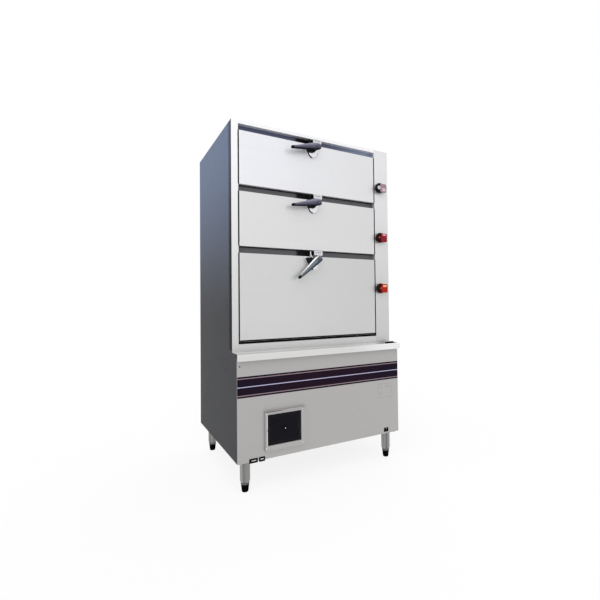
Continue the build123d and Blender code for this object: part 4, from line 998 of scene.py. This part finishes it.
border = (flapBox[0][0] + trim["borderX"], flapBox[1][0] - trim["borderX"], flapBox[0][2], flapBox[1][2])
border = rounded(narrowed(border, trim["borderInset"]), trim["borderRound"], 4)
path = pathMesh("flapBorderPath", loops=[[(x, trim["flapFront"], z) for x, z in border]])
sweeps.piece("flapBorder", path, "rivetPaint", "flap_door", **trim["borderSize"])

# Stripe film, a little taller than its groove in the solids
(left, front, _), (right, back, _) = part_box("stripe_band")
film = rounded((left, right, *about(stripeLook["centre"], stripeLook["height"])), stripeLook["round"], 2)
film = plate(film, front, back - stripeLook["backGap"])
solidPiece("stripeFilm", [film], "stripeFilm", replaces=["stripe_band"])

# Small plates on the base front, all bare
labels = {
    "blackY": (-0.4029, -0.4019), "blackRound": 0.002, "paleY": (-0.4032, -0.4025), "paleRound": 0.0012,
    "black": [(-0.4408, -0.3964, 0.1535, 0.176), (-0.3905, -0.358, 0.153, 0.1765),
              (0.3905, 0.423, 0.169, 0.193)],
    "pale": [(-0.429, -0.405, 0.1635, 0.1668), (-0.383, -0.365, 0.1635, 0.1675),
             (0.407, 0.41, 0.185, 0.189)],
    "sticker": (0.348, 0.456, 0.372, 0.458), "stickerY": (-0.40235, -0.4019), "stickerEdge": 0.006,
    "stickerRound": 0.004, "fieldRound": 0.002,
    "fields": [(0.362, 0.385, 0.386, 0.412), (0.362, 0.385, 0.424, 0.446), (0.398, 0.442, 0.43, 0.444)],
}
black = [plate(rounded(box, labels["blackRound"], 3), *labels["blackY"]) for box in labels["black"]]
pale = [plate(rounded(box, labels["paleRound"], 3), *labels["paleY"]) for box in labels["pale"]]
hole = rounded(narrowed(labels["sticker"], labels["stickerEdge"]), labels["fieldRound"], 4)
sticker = [plate(rounded(labels["sticker"], labels["stickerRound"], 4), *labels["stickerY"], hole)]
sticker += [plate(rounded(box, labels["fieldRound"], 3), *labels["stickerY"]) for box in labels["fields"]]
solidPiece("blackLabels", black, "labelBlack", bevel=(0.0002, 1))
solidPiece("labelMarks", pale, "labelWhite", bevel=(0.0001, 1))
solidPiece("bareSticker", sticker, "labelFaint")
print("front details done")

# Gutter: a strainer over the drain slot, a black block beside it and a weep hole
gutter = {"slatX": (0.4181, 0.4209), "slatY": (-0.38045, -0.35895), "slatZ": (0.6756, 0.6776),
          "step": 0.0068, "count": 7, "guardY": (-0.379, -0.36),
          "guard": [(0.44, 0.6762), (0.493, 0.6762), (0.493, 0.7), (0.44, 0.697)],
          "weep": (-0.486, 0.632), "weepRadius": 0.0035, "weepY": (-0.4026, -0.4015)}
slat = meshOf("strainerSlat", [block(gutter["slatX"], gutter["slatY"], gutter["slatZ"])], (0.0004, 1))
rows.piece("gutterStrainer", slat, "linerSteel", Count=gutter["count"], Step=(gutter["step"], 0.0, 0.0))
solidPiece("drainGuard", [plate(gutter["guard"], *gutter["guardY"])], "blackRubber", bevel=(0.0012,))
# painted shade: a black disc stands in for the dark inside the weep hole
weep = arcPoints(gutter["weep"], gutter["weepRadius"], 0, 345, 15)
solidPiece("weepHole", [plate(weep, *gutter["weepY"])], "labelBlack")

# Screws: cross-slotted heads on the back and the flap frame, hexagon heads under the leg plates
legPlace = {"x": {"left": -0.444, "right": 0.444}, "y": {"front": -0.346, "rear": 0.314}}
screw = {
    "head": [(0.005, 0.0), (0.005, 0.0008), (0.0044, 0.0017), (0.003, 0.0023), (0.0, 0.0025)],
    "slot": (0.0011, 0.0062), "slotZ": (0.0011, 0.0035),
    "bolt": [(0.0065, 0.0), (0.0065, 0.0034), (0.0057, 0.004), (0.0, 0.004)],
    "backX": (-0.48, 0.48), "backZ": (0.18, 1.866), "backCount": 6, "backY": 0.398,
    "frontX": (-0.354, -0.155), "frontZ": (0.214, 0.388), "frontY": -0.416, "aside": 0.036, "plateZ": 0.155,
}
middle, sides, (width, length) = (0, 0, 0), (-1, 1), screw["slot"]
slot = [block(about(0, x), about(0, y), screw["slotZ"]) for x, y in ((width, length), (length, width))]
crossed = placed("crossHead", meshOf("crossHead", [turned(screw["head"], middle, "Z", 16)], cut=slot))
hexed = placed("hexHead", meshOf("hexHead", [turned(screw["bolt"], middle, "Z", 6)], (0.0003, 1)))
low, high = screw["backZ"]
levels = [low + (high - low) * step / (screw["backCount"] - 1) for step in range(screw["backCount"])]
backSpots = [(x, screw["backY"], z) for x in screw["backX"] for z in levels]
frontSpots = [(x, screw["frontY"], z) for x in screw["frontX"] for z in screw["frontZ"]]
legs = [(x, y) for x in legPlace["x"].values() for y in legPlace["y"].values()]
legSpots = [(x + sideX * screw["aside"], y + sideY * screw["aside"], screw["plateZ"])
            for x, y in legs for sideX in sides for sideY in sides]
for name, head, spots, aim, seed, replaced in (
    ("backScrews", crossed, backSpots, -math.pi / 2, 3, ["screws"]),
    ("frameScrews", crossed, frontSpots, math.pi / 2, 5, []),
    ("legBolts", hexed, legSpots, math.pi, 11, []),
):
    fasteners.piece(name, pathMesh(name + "Spots", lines=[spots]), "nutSteel", replaces=replaced, Head=head,
                    Aim=(aim, 0.0, 0.0), Seed=seed)
for helper in (crossed, hexed):
    bpy.data.objects.remove(helper)
print("screws done")

# Shelf grids: a frame and a row of slats on each level
shelf = {"levels": (0.804, 0.984, 1.295, 1.614), "thick": 0.008, "bar": 0.012, "slat": 0.006, "slats": 12,
         "round": 0.0016, "barInset": (0.001, 0.0003), "slatInset": (0.002, 0.0005)}
(left, near, _), (right, far, _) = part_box("shelf_grids")
step = (right - left) / (shelf["slats"] + 1)
for number, level in enumerate(shelf["levels"], 1):
    bar, top = shelf["bar"], level + shelf["thick"]
    inY, inZ = shelf["barInset"]
    bars = [block((left, right), depths, (level, top)) for depths in ((near, near + bar), (far - bar, far))]
    bars += [block(ends, (near + inY, far - inY), (level + inZ, top - inZ))
             for ends in ((left, left + bar), (right - bar, right))]
    solidPiece(f"shelfFrame{number}", bars, "linerSteel", replaces=["shelf_grids"] if number == 1 else [],
               bevel=(shelf["round"],))
    inY, inZ = shelf["slatInset"]
    slat = block(about(left + step, shelf["slat"]), (near + inY, far - inY), (level + inZ, top - inZ))
    rows.piece(f"shelfSlats{number}", meshOf(f"shelfSlat{number}", [slat], (shelf["round"],)), "linerSteel",
               Count=shelf["slats"], Step=(step, 0.0, 0.0))

# Door gaskets: a rounded rectangle of soft profile with a raised middle
gasket = {"width": 0.009, "corner": 0.012, "lip": 0.003, "lipBack": 0.0008}
for name in doorNames:
    node = f"door_{name}_gasket"
    (left, front, low), (right, back, high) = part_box(node)
    rings = []
    for inset, backY in ((0.0, back - gasket["lipBack"]), (gasket["lip"], back)):
        outline, hole = (rounded(narrowed((left, right, low, high), by), gasket["corner"] - by)
                         for by in (inset, gasket["width"] - inset))
        rings.append(plate(outline, front, backY, hole))
    solidPiece("gasket" + name.title(), rings, "gasketSilicone", "door_" + name, [node], bevel=(0.0007,))
print("chamber fittings done")

# Screw feet: a grooved cone with a steel collar and a stem
foot = {
    "cone": [(0.0, 0.0), (0.014, 0.0), (0.0156, 0.0014), (0.0167, 0.0052), (0.0187, 0.0225), (0.018, 0.0235),
             (0.018, 0.0255), (0.0192, 0.0265), (0.0206, 0.0385), (0.0, 0.0385)],
    "collar": [(0.0, 0.038), (0.021, 0.0386), (0.0217, 0.0396), (0.0217, 0.0484), (0.0208, 0.0496),
               (0.008, 0.0497), (0.008, 0.0795), (0.0, 0.08)],
}
for end, y in legPlace["y"].items():
    for side, x in legPlace["x"].items():
        title, body = end.title() + side.title(), f"screw_foot_{end}_{side}"
        solidPiece("footCone" + title, [turned(foot["cone"], (x, y, 0), "Z", 40)], "footPlastic", body,
                   [f"foot_{end}_{side}"])
        solidPiece("footCollar" + title, [turned(foot["collar"], (x, y, 0), "Z", 40)], "collarSteel", body)

# Back: a field of louvres over the blower, and the cable gland
louvre = {"x": (0.052, 0.228), "hood": [(0.3979, 0.219), (0.4015, 0.2202), (0.4013, 0.222), (0.3979, 0.2308)],
          "slotX": (0.056, 0.224), "slotY": (0.3975, 0.3985), "slotZ": (0.2136, 0.2194),
          "step": 0.018, "count": 6}
gland = {
    "at": (0.3, 0.0, 0.276),
    "nut": [(0.016, 0.398), (0.016, 0.407), (0.015, 0.408), (0.0112, 0.408), (0.0112, 0.398)],
    "cap": [(0.0114, 0.3875), (0.0114, 0.4082), (0.0132, 0.409), (0.0134, 0.415), (0.012, 0.4196),
            (0.0092, 0.4218), (0.0054, 0.4219), (0.005, 0.4205), (0.005, 0.3875)],
}
hood = ([[(x, y, z) for y, z in louvre["hood"]] for x in louvre["x"]], False)
# painted shade: a black plate in each louvre opening stands in for the shade inside it
opening = block(louvre["slotX"], louvre["slotY"], louvre["slotZ"])
for name, solid, finish in (("louvreHoods", hood, "backSteel"), ("louvreSlots", opening, "labelBlack")):
    rows.piece(name, meshOf(name + "One", [solid], (0.0003, 1)), finish, Count=louvre["count"],
               Step=(0.0, 0.0, louvre["step"]))
rings = [turned(gland["cap"], gland["at"], hole=True), turned(gland["nut"], gland["at"], steps=6, hole=True)]
solidPiece("cableGland", rings, "glandPlastic", replaces=["cable_gland"], bevel=(0.0003, 1, 50.0))

# Burner ports, blower guard and motor fins, tank seams
fittings = {
    "port": [(0.0052, -0.001), (0.0072, -0.001), (0.0072, 0.0008), (0.0064, 0.0014), (0.0052, 0.0014)],
    "ports": {"SizeX": 0.24, "SizeY": 0.12, "CountX": 9, "CountY": 5, "Centre": (-0.1, -0.1, 0.386)},
    "blower": (0.25, 0.284), "guardRings": (0.014, 0.026, 0.038, 0.05), "guardY": -0.1412,
    "guardWire": {"Width": 0.0022, "Height": 0.0022}, "spokes": 6, "spokeY": -0.14,
    "fins": 10, "finStep": 0.007,
    "fin": [(0.044, -0.052), (0.0485, -0.052), (0.0485, -0.0502), (0.044, -0.0502)],
    "seams": (0.432, 0.622), "seamRound": 0.002, "seamSize": {"Width": 0.004, "Height": 0.002},
}
x, z = fittings["blower"]
port = turned(fittings["port"], (0, 0, 0), "Z", 16, hole=True)
fin = turned(fittings["fin"], (x, 0, z), steps=40, hole=True)
lattices.piece("burnerPorts", meshOf("portRing", [port]), "castIron", **fittings["ports"])
rows.piece("motorFins", meshOf("motorFin", [fin]), "blowerPaint", Count=fittings["fins"],
           Step=(0.0, fittings["finStep"], 0.0))
circles = [[(spotX, fittings["guardY"], spotZ) for spotX, spotZ in arcPoints((x, z), radius, 0, 352.5, 47)]
           for radius in fittings["guardRings"]]
turns = [2 * math.pi * spoke / fittings["spokes"] for spoke in range(fittings["spokes"])]
spokes = [[(x + reach * math.cos(turn), fittings["spokeY"], z + reach * math.sin(turn))
           for reach in (fittings["guardRings"][0], fittings["guardRings"][-1])] for turn in turns]
sweeps.piece("blowerGuard", pathMesh("guardPath", circles, spokes), "nutSteel", **fittings["guardWire"])
(left, near, _), (right, far, _) = tankBox
outline = rounded((left, right, near, far), fittings["seamRound"], 3)
seams = [[(x, y, height) for x, y in outline] for height in fittings["seams"]]
sweeps.piece("tankSeams", pathMesh("seamPath", seams), "tankSteel", **fittings["seamSize"])
print("inner fittings done")

# CAD pieces that are shown as they are
plainNodes = {
    "body_insulation": "mineralWool", **{f"door_{name}_core": "mineralWool" for name in doorNames},
    "steam_pipework": "pipeSteel", "water_pipes": "pipeSteel", "gas_pipe": "brassFitting",
    "hinge_pins": "nutSteel", "valve_bodies": "valveCast", "blower_housing": "blowerPaint",
    "blower_wheel": "blowerPaint",
}
for node, finish in plainNodes.items():
    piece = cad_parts[node]
    if not piece.material_slots:
        piece.data.materials.append(finishes[finish])
    for materialSlot in piece.material_slots:
        materialSlot.material = finishes[finish]
print("carried-over pieces finished")
